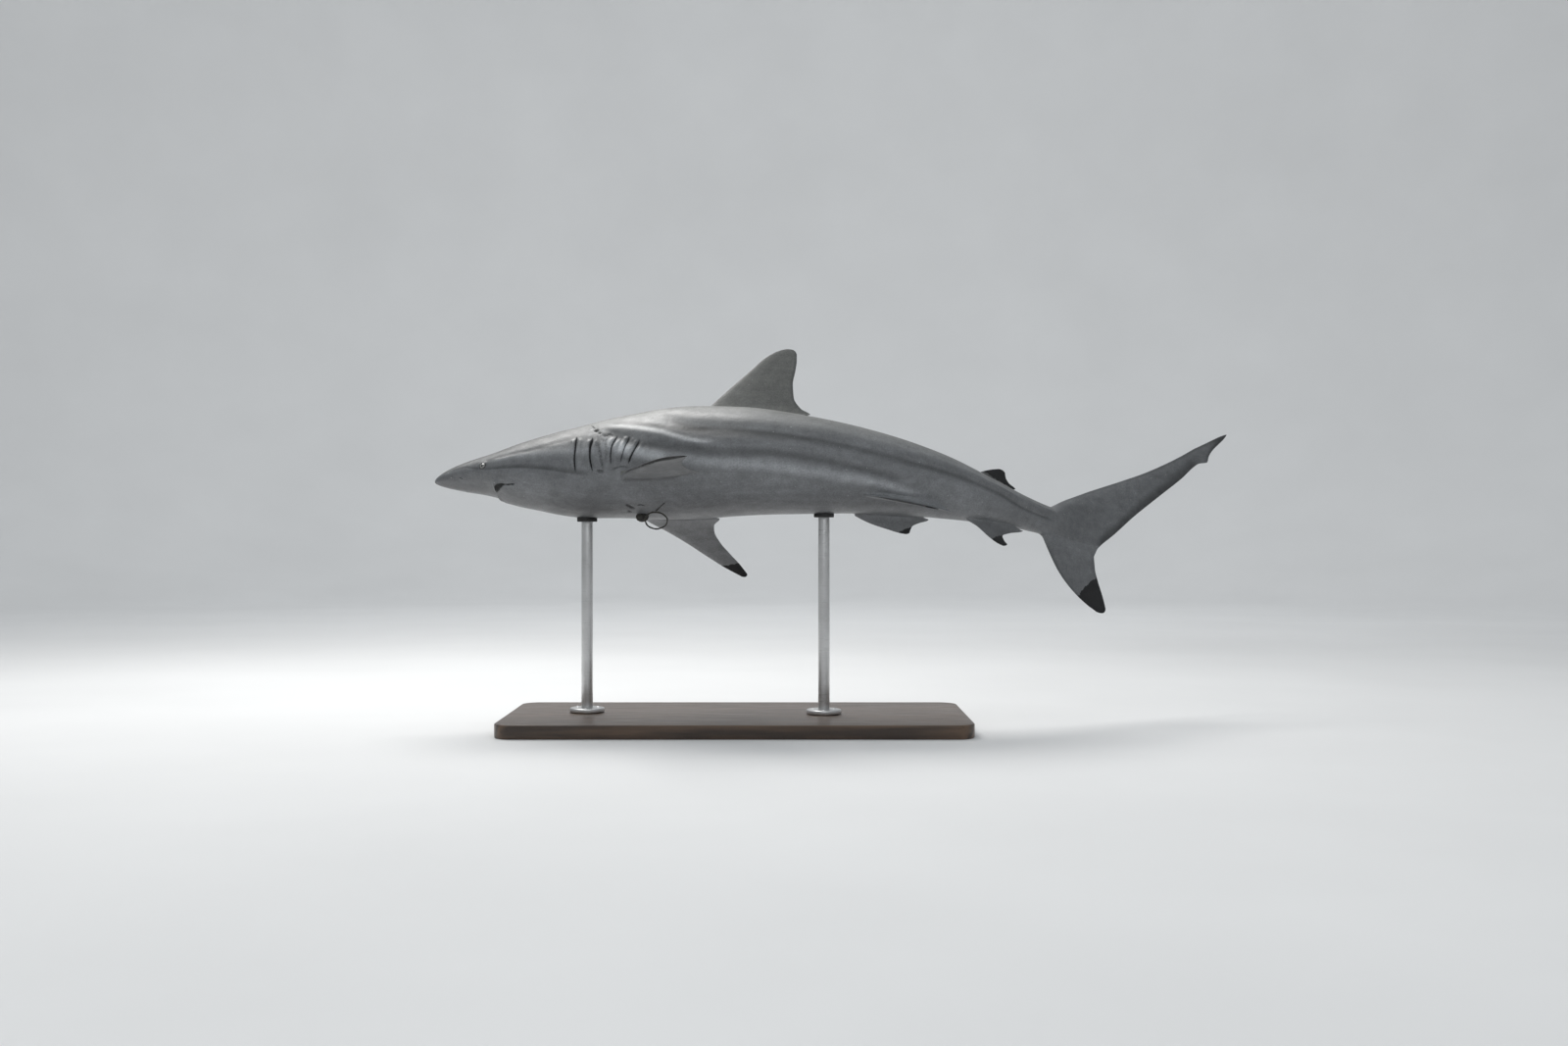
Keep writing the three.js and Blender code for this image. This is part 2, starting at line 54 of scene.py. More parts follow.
# The body: station, middle height, depth, half width, widest level, roundness over and under.
BODY = [
    (0, -8, 0, 0, -8, 2.0, 2.0),
    (12, -4, 21, 16, -6, 2.0, 2.1),
    (60, 3.6, 52, 41, -4, 2.0, 2.2),
    (120, 8.6, 78, 61, -2, 2.0, 2.4),
    (200, 8.6, 135.5, 82, 0, 2.0, 2.3),
    (300, 10.6, 189.5, 100, 2, 1.95, 2.15),
    (420, 23, 225, 112, 4, 1.9, 2.1),
    (560, 28, 250, 120, 6, 1.85, 2.1),
    (680, 25, 238, 120, 8, 1.85, 2.1),
    (820, 12, 212, 111, 8, 1.85, 2.1),
    (980, 1, 174, 92, 6, 1.9, 2.1),
    (1120, -5, 142, 70, 4, 1.9, 2.1),
    (1260, -8, 101, 48, 0, 1.95, 2.1),
    (1380, -8, 75, 33, -2, 2.0, 2.0),
    (1460, -6, 67, 27, -2, 2.0, 2.0),
    (1500, -2, 66, 24, 0, 2.0, 2.0),
]
CAUDAL_FROM = 1448

# Fins: t, leading edge s and z, trailing edge s and z, thickness, from inside the body to the
# tip. On paired fins each pair is (chord, span).
FIRST_DORSAL = [
    (0, 582, 120, 748, 108, 26),
    (0.1, 595, 151, 828, 131, 20),
    (0.22, 617, 174, 805, 149, 16),
    (0.4, 652, 208, 790, 176, 13),
    (0.6, 694, 248, 788, 211, 10),
    (0.78, 730, 282, 794, 246, 7),
    (0.91, 757, 297, 797, 273, 4.5),
    (1, 781, 303, 797, 294, 2.4),
]
SECOND_DORSAL = [
    (0, 1204, 30, 1284, 20, 10),
    (0.15, 1218, 47, 1346, 46, 8),
    (0.4, 1248, 65, 1326, 57, 6),
    (0.7, 1272, 76, 1317, 70, 4),
    (1, 1302, 87, 1316, 83, 1.6),
]
ANAL = [
    (0, 1178, -42, 1268, -36, 10),
    (0.15, 1188, -66, 1362, -52, 8),
    (0.35, 1222, -78, 1318, -71, 6.5),
    (0.6, 1256, -96, 1296, -84, 5),
    (0.8, 1280, -105, 1301, -94, 3),
    (1, 1299, -108, 1311, -101, 1.6),
]
LOWER_CAUDAL = [
    (0, 1402, -18, 1560, 4, 24),
    (0.1, 1418, -42, 1583, -40, 17),
    (0.25, 1436, -78, 1571, -72, 14),
    (0.45, 1462, -124, 1571, -100, 11),
    (0.65, 1494, -160, 1576, -130, 8),
    (0.85, 1538, -193, 1586, -170, 5),
    (1, 1574, -212, 1592, -204, 2),
]
UPPER_CAUDAL = [
    (0, 1448, 27.8, 1448, -40.4, 55.6),
    (0.05, 1468, 41, 1474, -42, 47),
    (0.1, 1495, 58, 1505, -44, 40),
    (0.15, 1528, 76, 1545, -46, 32),
    (0.22, 1560, 93, 1583, -46, 25),
    (0.24, 1567.5, 97, 1591, -38, 24),
    (0.34, 1605, 115, 1628, -6, 20),
    (0.48, 1665, 143, 1690, 53, 16),
    (0.62, 1730, 174, 1765, 118, 12),
    (0.76, 1800, 213, 1828, 172, 9),
    (0.86, 1847, 242.5, 1867, 210, 7),
    (0.885, 1858, 250, 1879, 218.5, 6.5),
    (0.915, 1870, 258, 1902, 225, 6),
    (0.93, 1884, 266, 1907, 240, 5.5),
    (1, 1961, 311, 1965, 306, 2),
]
PECTORAL = [
    (0, -22, -38, 98, -38, 28),
    (0.08, 2, 2, 122, 2, 22),
    (0.14, 16, 15, 190, 16, 18),
    (0.24, 36, 37, 174, 41, 15),
    (0.38, 65, 65, 171, 68, 12),
    (0.54, 101, 103, 179, 104, 10),
    (0.7, 138, 145, 195, 140, 8),
    (0.85, 175, 183, 213, 175, 5.5),
    (1, 217, 217, 228, 209, 2.2),
]
PECTORAL_SPAN = 218
PECTORAL_ARCH = 7
PELVIC = [
    (0, -24, -22, 120, -22, 14),
    (0.1, -10, 0, 188, -5, 11),
    (0.2, 9, 10, 183, 1, 9),
    (0.4, 43, 22, 163, 8.5, 7),
    (0.65, 86, 31, 145, 19, 5),
    (0.85, 116, 36, 142, 28, 3.4),
    (1, 133, 37, 141, 34, 1.6),
]
PECTORAL_ROOT = {"station": 424, "angle": -33, "droop": 17, "pitch": 4}
PECTORAL_SWEEP = {"left": -10, "right": 1}
PELVIC_ROOT = {
    "left": {"station": 936, "angle": -62, "droop": 32, "pitch": 3},
    "right": {"station": 936, "angle": -62, "droop": 66, "pitch": -3},
}
FIN_EDGE = 0.35
OVAL_END = 0.22  # the tail's section is an oval at its root and a foil from here on

EYE = {"station": 119, "angle": 1.5, "side": 53.6, "height": -0.7, "radius": 10}
GILL_SLITS = [
    [(326, 24), (326, 8), (325, -6), (328, -25)],
    [(363, 18), (359, 5), (360, -8), (366, -26)],
    [(418, 17), (407, 3), (406, -8), (407, -20)],
    [(446, 15), (437, 3), (428, -17)],
    [(469, 10), (460, 0), (452, -9), (446, -18)],
]

# ---------------- curves and the pose


def smooth_curve(knots):
    """A smooth curve through (x, value) knots that never overshoots them."""
    x, y = np.array(knots, float).T
    span = np.diff(x)
    rise = np.diff(y) / span
    slope = np.zeros(len(x))
    slope[0], slope[-1] = rise[0], rise[-1]
    for i in range(1, len(x) - 1):
        if rise[i - 1] * rise[i] > 0:
            before = 2 * span[i] + span[i - 1]
            after = span[i] + 2 * span[i - 1]
            slope[i] = (before + after) / (before / rise[i - 1] + after / rise[i])

    def curve(at):
        at = np.asarray(at, float)
        i = np.clip(np.searchsorted(x, at, side="right") - 1, 0, len(span) - 1)
        t = np.clip((at - x[i]) / span[i], 0, 1)
        u = 1 - t
        ends = y[i] * (1 + 2 * t) * u * u + y[i + 1] * t * t * (3 - 2 * t)
        return ends + span[i] * t * u * (slope[i] * u - slope[i + 1] * t)

    return curve


def smooth_columns(table):
    """One smooth curve for each column of a table whose first column is the parameter."""
    rows = np.array(table, float)
    return [smooth_curve(rows[:, (0, j)]) for j in range(1, rows.shape[1])]


def smoothstep(x):
    x = np.clip(x, 0, 1)
    return x * x * (3 - 2 * x)


def bump(x):
    """A smooth hump, 1 at x = 0 and 0 beyond x = 1 either way."""
    return smoothstep(1 - np.abs(x))


def ramp(x, start, end):
    """0 before start, 1 from end on, smooth between. Where end is the lower one, it falls."""
    return smoothstep((x - start) / (end - start))


def hump(x, middle, half_width):
    return bump((x - middle) / half_width)


def unit(vector):
    return vector / np.linalg.norm(vector, axis=-1, keepdims=True)


heading_at = smooth_curve(HEADING)
path_stations = np.arange(0, PATH_END + PATH_STEP, PATH_STEP)
path_headings = np.radians(heading_at(path_stations[:-1] + PATH_STEP / 2))
path_x = np.concatenate([[0], np.cumsum(PATH_STEP * np.cos(path_headings))])
path_y = np.concatenate([[0], np.cumsum(PATH_STEP * np.sin(path_headings))])
path_x -= np.interp(ANCHOR_STATION, path_stations, path_x)
path_y -= np.interp(ANCHOR_STATION, path_stations, path_y)


def bend(points):
    """From the straight shark to the posed one."""
    s, y, z = np.moveaxis(np.asarray(points, float), -1, 0)
    heading = np.radians(heading_at(s))
    x = np.interp(s, path_stations, path_x) + y * np.sin(heading)
    across = np.interp(s, path_stations, path_y) - y * np.cos(heading)
    rolled_y = across * np.cos(ROLL) + z * np.sin(ROLL)
    rolled_z = z * np.cos(ROLL) - across * np.sin(ROLL)
    return np.stack([x, rolled_y, rolled_z], -1) + ANCHOR


# ---------------- the body's surface

body_curves = smooth_columns([(math.sqrt(row[0]), *row[1:]) for row in BODY])


def body_section(s, is_upper):
    """The section's half width, widest level, reach from that level, and power. is_upper says,
    from the widest level, which points lie above it."""
    middle, depth, half_width, level, over, under = (f(np.sqrt(s)) for f in body_curves)
    upper = is_upper(level)
    reach = np.where(upper, middle + depth / 2 - level, level - middle + depth / 2)
    return half_width, level, reach, 2 / np.where(upper, over, under)


def body_point(s, angle):
    """A point of the straight body's surface; the angle is 0 on the left side, 90 on top."""
    s = np.asarray(s, float)
    cos, sin = np.cos(angle), np.sin(angle)
    half_width, level, reach, power = body_section(s, lambda level: sin >= 0)
    y = half_width * np.sign(cos) * np.abs(cos) ** power
    z = level + reach * np.sign(sin) * np.abs(sin) ** power
    return np.stack([s + 0 * y, y, z], -1)


def angle_of(points):
    """The angle in degrees round the body, as on the left side, that faces each point."""
    s, y, z = points.T
    half_width, level, reach, power = body_section(np.clip(s, 1, CAUDAL_FROM), lambda level: z >= level)
    cos = (np.abs(y) / half_width) ** (1 / power)
    sin = (np.abs(z - level) / reach) ** (1 / power)
    return np.degrees(np.arctan2(np.sign(z - level) * sin, cos))


def foil(x, oval):
    """Half thickness across the chord: a foil, or an ellipse where oval is 1."""
    blade = 2.6 * np.sqrt(x) * (1 - x)
    ellipse = 2 * np.sqrt(x * (1 - x))
    return blade + (ellipse - blade) * oval


TIP_LEFT = 0.12  # share of the chord that is left at the very tip
CAUDAL_TIP = 0.02  # share of the upper lobe's length that its rounded tip takes
TIP_STEPS = 7
FLAT_SIDE = 0.02  # the lobe's sides are flat but for this much of the turn at each edge


def tip_squeeze(t, tip):
    """The share of its chord that a fin keeps at t, where its tip is rounded off."""
    into = np.clip((t - 1 + tip) / tip, 0, 1)
    return np.maximum(TIP_LEFT, np.sqrt(1 - into * into))


def tip_spans(start, steps, tip):
    """Where a fin's sections lie from its root to its tip, closer together at the tip."""
    even = np.linspace(start, 1 - tip, steps + 1)[:-1]
    return np.concatenate([even, 1 - tip + tip * np.sin(np.linspace(0, math.pi / 2, TIP_STEPS))])


caudal_curves = smooth_columns(UPPER_CAUDAL)


def fin_section(curves, t, x, oval, tip, tip_centre):
    """Station, height and half thickness of a fin at t, and at x across its chord."""
    lead_s, lead_z, trail_s, trail_z, thickness = (f(t) for f in curves)
    half = np.maximum(FIN_EDGE, thickness / 2 * foil(x, oval))
    along = tip_centre + (x - tip_centre) * tip_squeeze(t, tip)
    return lead_s + (trail_s - lead_s) * along, lead_z + (trail_z - lead_z) * along, half


def chord_length(curves, t):
    lead_s, lead_z, trail_s, trail_z, _ = (f(t) for f in curves)
    return np.hypot(trail_s - lead_s, trail_z - lead_z)


def caudal_point(t, angle):
    """A point of the tail's upper lobe, which carries the body's columns on to its tip."""
    oval = np.clip(1 - t / OVAL_END, 0, 1)
    s, z, half = fin_section(caudal_curves, t, (1 - np.sin(angle)) / 2, oval, CAUDAL_TIP, 0.5)
    side = np.clip(np.cos(angle) / FLAT_SIDE, -1, 1)
    return np.stack([s, side * half, z], -1)


# ---------------- the skin's grid

COLUMNS = 384
# Rings are this far apart from each station on: finest at the mouth and the gill slits.
RING_SPACING = [
    (0.3, 0.5), (3, 1.1), (16, 1.6), (56, 1), (76, 1.6), (94, 1), (206, 2), (318, 0.75), (484, 3.5),
    (1380, 3), (CAUDAL_FROM, 0),
]
CAUDAL_RINGS = 150


def ring_stations():
    stations = []
    for (start, spacing), (end, _) in zip(RING_SPACING, RING_SPACING[1:]):
        count = round((end - start) / spacing)
        stations += [start + (end - start) * k / count for k in range(count)]
    return np.array(stations)


def cap_faces(ring):
    """Closes a ring across itself, pairing the vertices either side of its first one."""
    m = np.arange(len(ring) // 2)
    return np.stack([ring[m], ring[m + 1], ring[(-m - 1) % len(ring)], ring[-m % len(ring)]], 1)


def ring_faces(rings, sides, closed=False):
    """Quads between rings of points. The end rings are capped, or joined where it is closed."""
    i, j = np.meshgrid(np.arange(rings if closed else rings - 1), np.arange(sides), indexing="ij")
    a = i * sides + j
    b = i * sides + (j + 1) % sides
    count = rings * sides
    faces = [np.stack([a, b, (b + sides) % count, (a + sides) % count], -1).reshape(-1, 4)]
    if not closed:
        faces += [cap_faces(np.arange(sides)[::-1]), cap_faces(np.arange(count - sides, count))]
    return np.concatenate(faces)


class Skin:
    """The skin's vertices in the straight shark, its faces, and a few numbers on each vertex."""

    def __init__(self):
        self.stations = ring_stations()
        self.caudal = tip_spans(0, CAUDAL_RINGS, CAUDAL_TIP)
        angles = 2 * math.pi * np.arange(COLUMNS) / COLUMNS
        body = body_point(self.stations[:, None], angles[None, :])
        tail = caudal_point(self.caudal[:, None], angles[None, :])
        self.rows = len(self.stations) + len(self.caudal)
        self.points = [np.concatenate([body, tail]).reshape(-1, 3)]
        self.count = self.rows * COLUMNS
        self.open = np.zeros((self.rows - 1, COLUMNS), bool)
        self.faces = []
        self.grown = []  # the fins and eye sockets: name, vertices and rim, and places on a fin
        ring = np.roll(np.arange(COLUMNS), -COLUMNS // 4)
        self.cap(ring[::-1])
        self.cap(ring + (self.rows - 1) * COLUMNS)

    def row_at(self, s):
        return int(np.argmin(np.abs(self.stations - s)))

    def caudal_row_at(self, t):
        return len(self.stations) + int(np.argmin(np.abs(self.caudal - t)))

    def add(self, points):
        """Adds points and gives back their numbers."""
        first = self.count
        self.points.append(np.asarray(points, float).reshape(-1, 3))
        self.count += len(self.points[-1])
        return np.arange(first, self.count)

    def cap(self, ring):
        self.faces.append(cap_faces(ring))

    def hole(self, rows, columns):
        """Opens a hole in the grid. Gives its rim, in order, and each rim vertex's place: the
        share of the way back, and the share of the way across from the first column."""
        (r0, r1), (c0, c1) = rows, columns
        across, along = c1 - c0, r1 - r0
        self.open[r0:r1, np.arange(c0, c1) % COLUMNS] = True
        row = np.concatenate([
            np.full(across, r0), r0 + np.arange(along), np.full(across, r1), r1 - np.arange(along)])
        column = np.concatenate([
            c0 + np.arange(across), np.full(along, c1), c1 - np.arange(across), np.full(along, c0)])
        rim = row * COLUMNS + column % COLUMNS
        back = self.points[0][r0 * COLUMNS:r1 * COLUMNS + 1:COLUMNS, 0]
        share = (back - back[0]) / (back[-1] - back[0])
        return rim, share[row - r0], (column - c0) / across

    def sleeve(self, rim, rings):
        """Skins rings onto a hole's rim, one after another, and closes the last one."""
        last = rim
        for points in rings:
            ring = self.add(points)
            ahead = np.roll(np.arange(len(rim)), -1)
            self.faces.append(np.stack([last, last[ahead], ring[ahead], ring], 1))
            last = ring
        return last

    def grid_faces(self):
        r, c = np.nonzero(~self.open)
        a = r * COLUMNS + c
        b = r * COLUMNS + (c + 1) % COLUMNS
        return np.stack([a, b, b + COLUMNS, a + COLUMNS], 1)


# ---------------- fins

NOSE = 0.03  # share of the chord that the rounded leading edge takes
TAIL_EDGE = 0.012
ROOT_RINGS = 12
FIN_STEP = 3.0
FIN_SECTIONS_LEAST = 8
LEADING_CROWDING = 1.15  # above 1, the vertices of a fin lie closer together at its leading edge
TIP_CENTRE = 0.55  # a fin's chord shrinks to this share of it at the rounded tip


def on_midline(s, z, offset):
    return np.stack([s, offset, z], -1)


def fin_plane(root, sweep, side, arch=0, span_length=1):
    """The plane of a paired fin: side is 1 on the left and -1 on the right."""
    droop, pitch, turn = (math.radians(a) for a in (root["droop"], root["pitch"], sweep))
    _, at_y, at_z = body_point(root["station"], math.radians(root["angle"]))

    def place(chord, span, offset):
        back = chord * math.cos(turn) + span * math.sin(turn)
        out = span * math.cos(turn) - chord * math.sin(turn)
        u = np.clip(span / span_length, 0, 1)
        above = offset + 4 * arch * u * (1 - u)
        y = at_y + out * math.cos(droop) + above * math.sin(droop)
        z = at_z - out * math.sin(droop) + above * math.cos(droop)
        s = root["station"] + back * math.cos(pitch)
        return np.stack([s, side * y, z - back * math.sin(pitch)], -1)

    return place


def rim_places(share, across, first_side):
    """Where a hole's rim goes on its fin: x across the chord, and the side, from -1 to 1."""
    ends = np.isin(share, (0, 1)) & (across > 0) & (across < 1)
    lengthwise = NOSE + (1 - NOSE - TAIL_EDGE) * share ** LEADING_CROWDING
    swing = 1 - 2 * across
    crosswise = np.where(share == 0, NOSE * swing ** 2, 1 - TAIL_EDGE * swing ** 2)
    return np.where(ends, crosswise, lengthwise), first_side * np.clip(swing * 4, -1, 1)


def fin_length(table):
    """A fin's length along its leading edge, and the share of it that its rounded tip takes."""
    rows = np.array(table, float)
    length = np.hypot(*np.diff(rows[:, 1:3], axis=0).T).sum()
    return length, 0.5 * np.hypot(*(rows[-1, 3:5] - rows[-1, 1:3])) / length


def add_fin(skin, table, place, rows, columns, root_t, first_side, name):
    """Grows a fin out of the grid. first_side is the sign of the offset on the side where the
    hole's first column lies."""
    rim, share, across = skin.hole(rows, columns)
    curves = smooth_columns(table)
    x, side = rim_places(share, across, first_side)
    length, tip = fin_length(table)

    def section(t):
        s, z, half = fin_section(curves, t, x, 0, tip, TIP_CENTRE)
        return place(s, z, side * half)

    steps = max(FIN_SECTIONS_LEAST, round(length * (1 - root_t) / FIN_STEP))
    spans = tip_spans(root_t, steps, tip)
    base = np.concatenate(skin.points)[rim]
    first = section(root_t)
    rings = [base + (first - base) * smoothstep(k / ROOT_RINGS) for k in range(1, ROOT_RINGS)]
    rings += [section(t) for t in spans]
    start = skin.count
    last = skin.sleeve(rim, rings)
    # The first vertex of a cap sits on the leading edge's middle.
    skin.cap(np.roll(last, -((columns[1] - columns[0]) // 2)))
    t = np.concatenate([np.full(ROOT_RINGS - 1, root_t), spans])
    skin.grown.append({
        "name": name, "at": np.arange(start, skin.count), "rim": rim,
        "t": np.repeat(t, len(rim)), "x": np.tile(x, len(t)), "side": np.tile(side, len(t)),
        "chord": np.repeat(chord_length(curves, t), len(rim)),
    })


# The hole that each fin grows out of: its first and last station, the columns that it reaches
# either side of its middle, and the t at which the fin's own shape begins.
FIN_HOLES = {
    "first_dorsal": (600, 796, 6, 0.12),
    "second_dorsal": (1214, 1320, 5, 0.17),
    "anal": (1192, 1326, 5, 0.17),
    "lower_caudal": (1422, None, 24, 0.14),
    "pectoral_left": (428, 536, 6, 0.12),
    "pectoral_right": (428, 572, 6, 0.12),
    "pelvic_left": (932, 1096, 5, 0.14),
    "pelvic_right": (932, 1096, 5, 0.14),
}
LOWER_CAUDAL_END = 0.22  # the lower lobe's hole ends at this t of the upper lobe
SIDES = {"left": 1, "right": -1}


def add_fins(skin):
    half_turn = COLUMNS // 2
    top, bottom = COLUMNS // 4, 3 * COLUMNS // 4

    def grow(name, table, place, middle, first_side):
        start, end, reach, root_t = FIN_HOLES[name]
        last_row = skin.row_at(end) if end else skin.caudal_row_at(LOWER_CAUDAL_END)
        columns = (middle - reach, middle + reach)
        add_fin(skin, table, place, (skin.row_at(start), last_row), columns, root_t, first_side, name)

    def grow_paired(kind, table, place, degrees, which):
        middle, side = round(degrees / 360 * COLUMNS), SIDES[which]
        grow(f"{kind}_{which}", table, place, middle if side > 0 else half_turn - middle, -side)

    grow("first_dorsal", FIRST_DORSAL, on_midline, top, 1)
    grow("second_dorsal", SECOND_DORSAL, on_midline, top, 1)
    grow("anal", ANAL, on_midline, bottom, -1)
    grow("lower_caudal", LOWER_CAUDAL, on_midline, bottom, -1)
    for name, side in SIDES.items():
        place = fin_plane(PECTORAL_ROOT, PECTORAL_SWEEP[name], side, PECTORAL_ARCH, PECTORAL_SPAN)
        grow_paired("pectoral", PECTORAL, place, PECTORAL_ROOT["angle"] - 1, name)
        place = fin_plane(PELVIC_ROOT[name], 0, side)
        grow_paired("pelvic", PELVIC, place, PELVIC_ROOT[name]["angle"], name)


# ---------------- smoothing and normals


def edges_of(faces):
    pairs = np.concatenate([faces[:, (0, 1)], faces[:, (1, 2)], faces[:, (2, 3)], faces[:, (3, 0)]])
    pairs = np.sort(pairs[pairs[:, 0] != pairs[:, 1]], axis=1)
    return np.unique(pairs, axis=0)


def relax(points, edges, weight, times):
    """Moves each vertex towards the middle of its neighbours, by its weight, some times over."""
    touched = weight > 0
    kept = edges[touched[edges].any(1)]
    a, b = kept.T
    degree = np.maximum(1, np.bincount(kept.ravel(), minlength=len(points)))
    for _ in range(times):
        total = np.stack([
            np.bincount(a, points[b, k], len(points)) + np.bincount(b, points[a, k], len(points))
            for k in range(3)], 1)
        move = total / degree[:, None] - points
        points = points + np.where(touched, weight, 0)[:, None] * move
    return points


def vertex_normals(points, faces):
    a, b, c, d = (points[faces[:, k]] for k in range(4))
    normal = np.cross(c - a, d - b)
    total = np.stack([
        sum(np.bincount(faces[:, k], normal[:, j], len(points)) for k in range(4)) for j in range(3)], 1)
    return total / np.maximum(np.linalg.norm(total, axis=1), 1e-12)[:, None]


def distance_to(points, targets, reach):
    """Distance from each point to the nearest target, or reach where none is nearer."""
    result = np.full(len(points), float(reach))
    low, high = targets.min(0) - reach, targets.max(0) + reach
    near = np.nonzero(((points > low) & (points < high)).all(1))[0]
    for chunk in np.array_split(near, max(1, len(near) * len(targets) // 4_000_000)):
        if len(chunk):
            gap = np.linalg.norm(points[chunk, None] - targets[None], axis=2).min(1)
            result[chunk] = np.minimum(result[chunk], gap)
    return result


# ---------------- eye sockets

EYE_HOLE = {"front": 102, "back": 136, "columns": 20}
LID_OPENING = 8.0
LID_OVER = 0.7  # the lids' edge stands this far above the eyeball
UPPER_LID_LOWER = 0.07  # share of the opening by which the upper lid comes down over the ball
# The lids, from the skin round them in: share of the way in to the lid's edge, and height
# above the straight line from the hole's rim to that edge.
LID_RINGS = [
    (0.15, 0.0), (0.32, 0.05), (0.5, 0.15), (0.66, 0.4), (0.8, 0.8), (0.9, 0.95), (0.97, 0.65), (1, 0),
]
# Inside the lids: share of the opening, and height above the eyeball where the lids meet it.
SOCKET_RINGS = [(0.97, 0.1), (0.92, -0.8), (0.5, -1)]


def eye_frame(side):
    """The eyeball's centre, and its axes: back along the head, up, and straight out."""
    angle, nudge = math.radians(EYE["angle"]), 0.02
    ahead, behind = body_point(EYE["station"] - 1, angle), body_point(EYE["station"] + 1, angle)
    below, above = body_point(EYE["station"], angle - nudge), body_point(EYE["station"], angle + nudge)
    back = unit(behind - ahead)
    out = unit(np.cross(above - below, back))
    out *= np.sign(out[1])
    up = np.cross(back, out) * np.sign(np.cross(back, out)[2])
    centre = np.array([EYE["station"], EYE["side"], EYE["height"]])
    mirror = np.array([1, side, 1])
    return centre * mirror, back * mirror, up * mirror, out * mirror


def add_eye_socket(skin, side):
    """Lids that close in from a hole in the grid to the eyeball, and turn in round it."""
    middle = round(EYE["angle"] / 360 * COLUMNS)
    if side < 0:
        middle = COLUMNS // 2 - middle
    columns = (middle - EYE_HOLE["columns"], middle + EYE_HOLE["columns"])
    rim, _, _ = skin.hole((skin.row_at(EYE_HOLE["front"]), skin.row_at(EYE_HOLE["back"])), columns)
    centre, back, up, out = eye_frame(side)
    from_centre = skin.points[0][rim] - centre
    turn = np.arctan2(from_centre @ up, from_centre @ back)
    radius = np.hypot(from_centre @ up, from_centre @ back)
    height = from_centre @ out
    opening = LID_OPENING * (1 - UPPER_LID_LOWER * np.maximum(0, np.sin(turn)))
    on_ball = np.sqrt(EYE["radius"] ** 2 - opening ** 2)
    edge = on_ball + LID_OVER

    def ring(r, h):
        flat = back * (r * np.cos(turn))[:, None] + up * (r * np.sin(turn))[:, None]
        return centre + flat + out * h[:, None]

    rings = [
        ring(radius + (opening - radius) * share, height + (edge - height) * share + more)
        for share, more in LID_RINGS]
    rings += [ring(opening * share, on_ball + more) for share, more in SOCKET_RINGS]
    start = skin.count
    skin.cap(skin.sleeve(rim, rings))
    skin.grown.append({"name": "eye", "at": np.arange(start, skin.count), "rim": rim})


# ---------------- relief and markings

# Lines on the body: (station, angle) on the left side, mirrored on the right.
UPPER_BAND = [
    (430, 60), (500, 38), (590, 19), (640, 15.5), (708, 12), (814, 5.5), (920, -2.5), (1038, -7.5),
    (1128, -7.5), (1242, -8.5), (1350, -21.5), (1470, -24),
]
LOWER_BAND = [
    (405, 19), (450, 8.5), (490, 2.5), (538, -2.5), (577, -6), (615, -10), (733, -15), (843, -22),
    (922, -28), (1000, -33), (1100, -38),
]
# A dark line of painted shade along the back, above the painted highlight.
BACK_SHADE_LINE = [(400, 40), (435, 36), (481, 28.5), (515, 23.5), (548, 20), (581, 17.8), (613, 16.2)]
# A ridge on the back with a painted highlight along it.
HIGHLIGHT_RIDGE = [(390, 38), (402, 35), (431, 29.8), (483, 21.5), (530, 14), (562, 8), (600, 3), (640, 0)]
PALE_FLANK = [
    (495, -9), (538, -14), (614, -22.5), (733, -30), (844, -37), (962, -44), (1030, -50), (1100, -55),
]
# A painted sheen on the skin between the last gill slits.
PAINTED_SHEEN = [(390, 10), (432, 2), (470, -5), (520, -13), (600, -22)]
HEAD_BOUNDARY = [
    (0, 30), (36, 16), (74, 10), (98, -2), (130, -13), (158, -13), (191, -13.5), (225, -16),
    (269, -20.5), (302, -25), (348, -30), (420, -36),
]
HEAD_PALE = [(120, 6), (142, 9), (166, 11), (234, 7.5), (318, 4), (370, 2)]
HEAD_GROOVE = [(118, 15), (139, 18.5), (178, 16), (213, 16), (246, 17), (270, 20), (320, 26)]
HEAD_TOP = [(0, 90), (2000, 90)]
KEEL = [(1200, 4), (1320, 6), (1386, 8), (1470, 12)]

# Long soft ridges and grooves: line, how far above it in degrees, height in mm, half width in
# degrees, first and last station, and the length over which each end fades.
RELIEF_BANDS = [
    # The back and the flank: two grooves with ridges between them.
    (UPPER_BAND, 0, -2.4, 13, 540, 1380, 60),
    (UPPER_BAND, 17, 1.6, 14, 520, 1380, 60),
    (HIGHLIGHT_RIDGE, -4, 2.6, 8, 420, 600, 70),
    (LOWER_BAND, 0, -2.2, 9, 440, 980, 90),
    (PALE_FLANK, 0, 1.6, 13, 560, 1010, 90),
    # The head: a groove from over the eye to the nape, a full cheek under it, and a flat top.
    (HEAD_GROOVE, 0, -0.4, 7, 135, 290, 50),
    (HEAD_PALE, -3, 0.9, 12, 150, 290, 50),
    (HEAD_BOUNDARY, 0, -0.8, 8, 120, 330, 60),
    (HEAD_TOP, 0, -1.2, 30, 130, 260, 60),
    # The tail: a keel of muscle that runs out onto the fin.
    (KEEL, 0, 1.8, 22, 1290, 1470, 80),
]
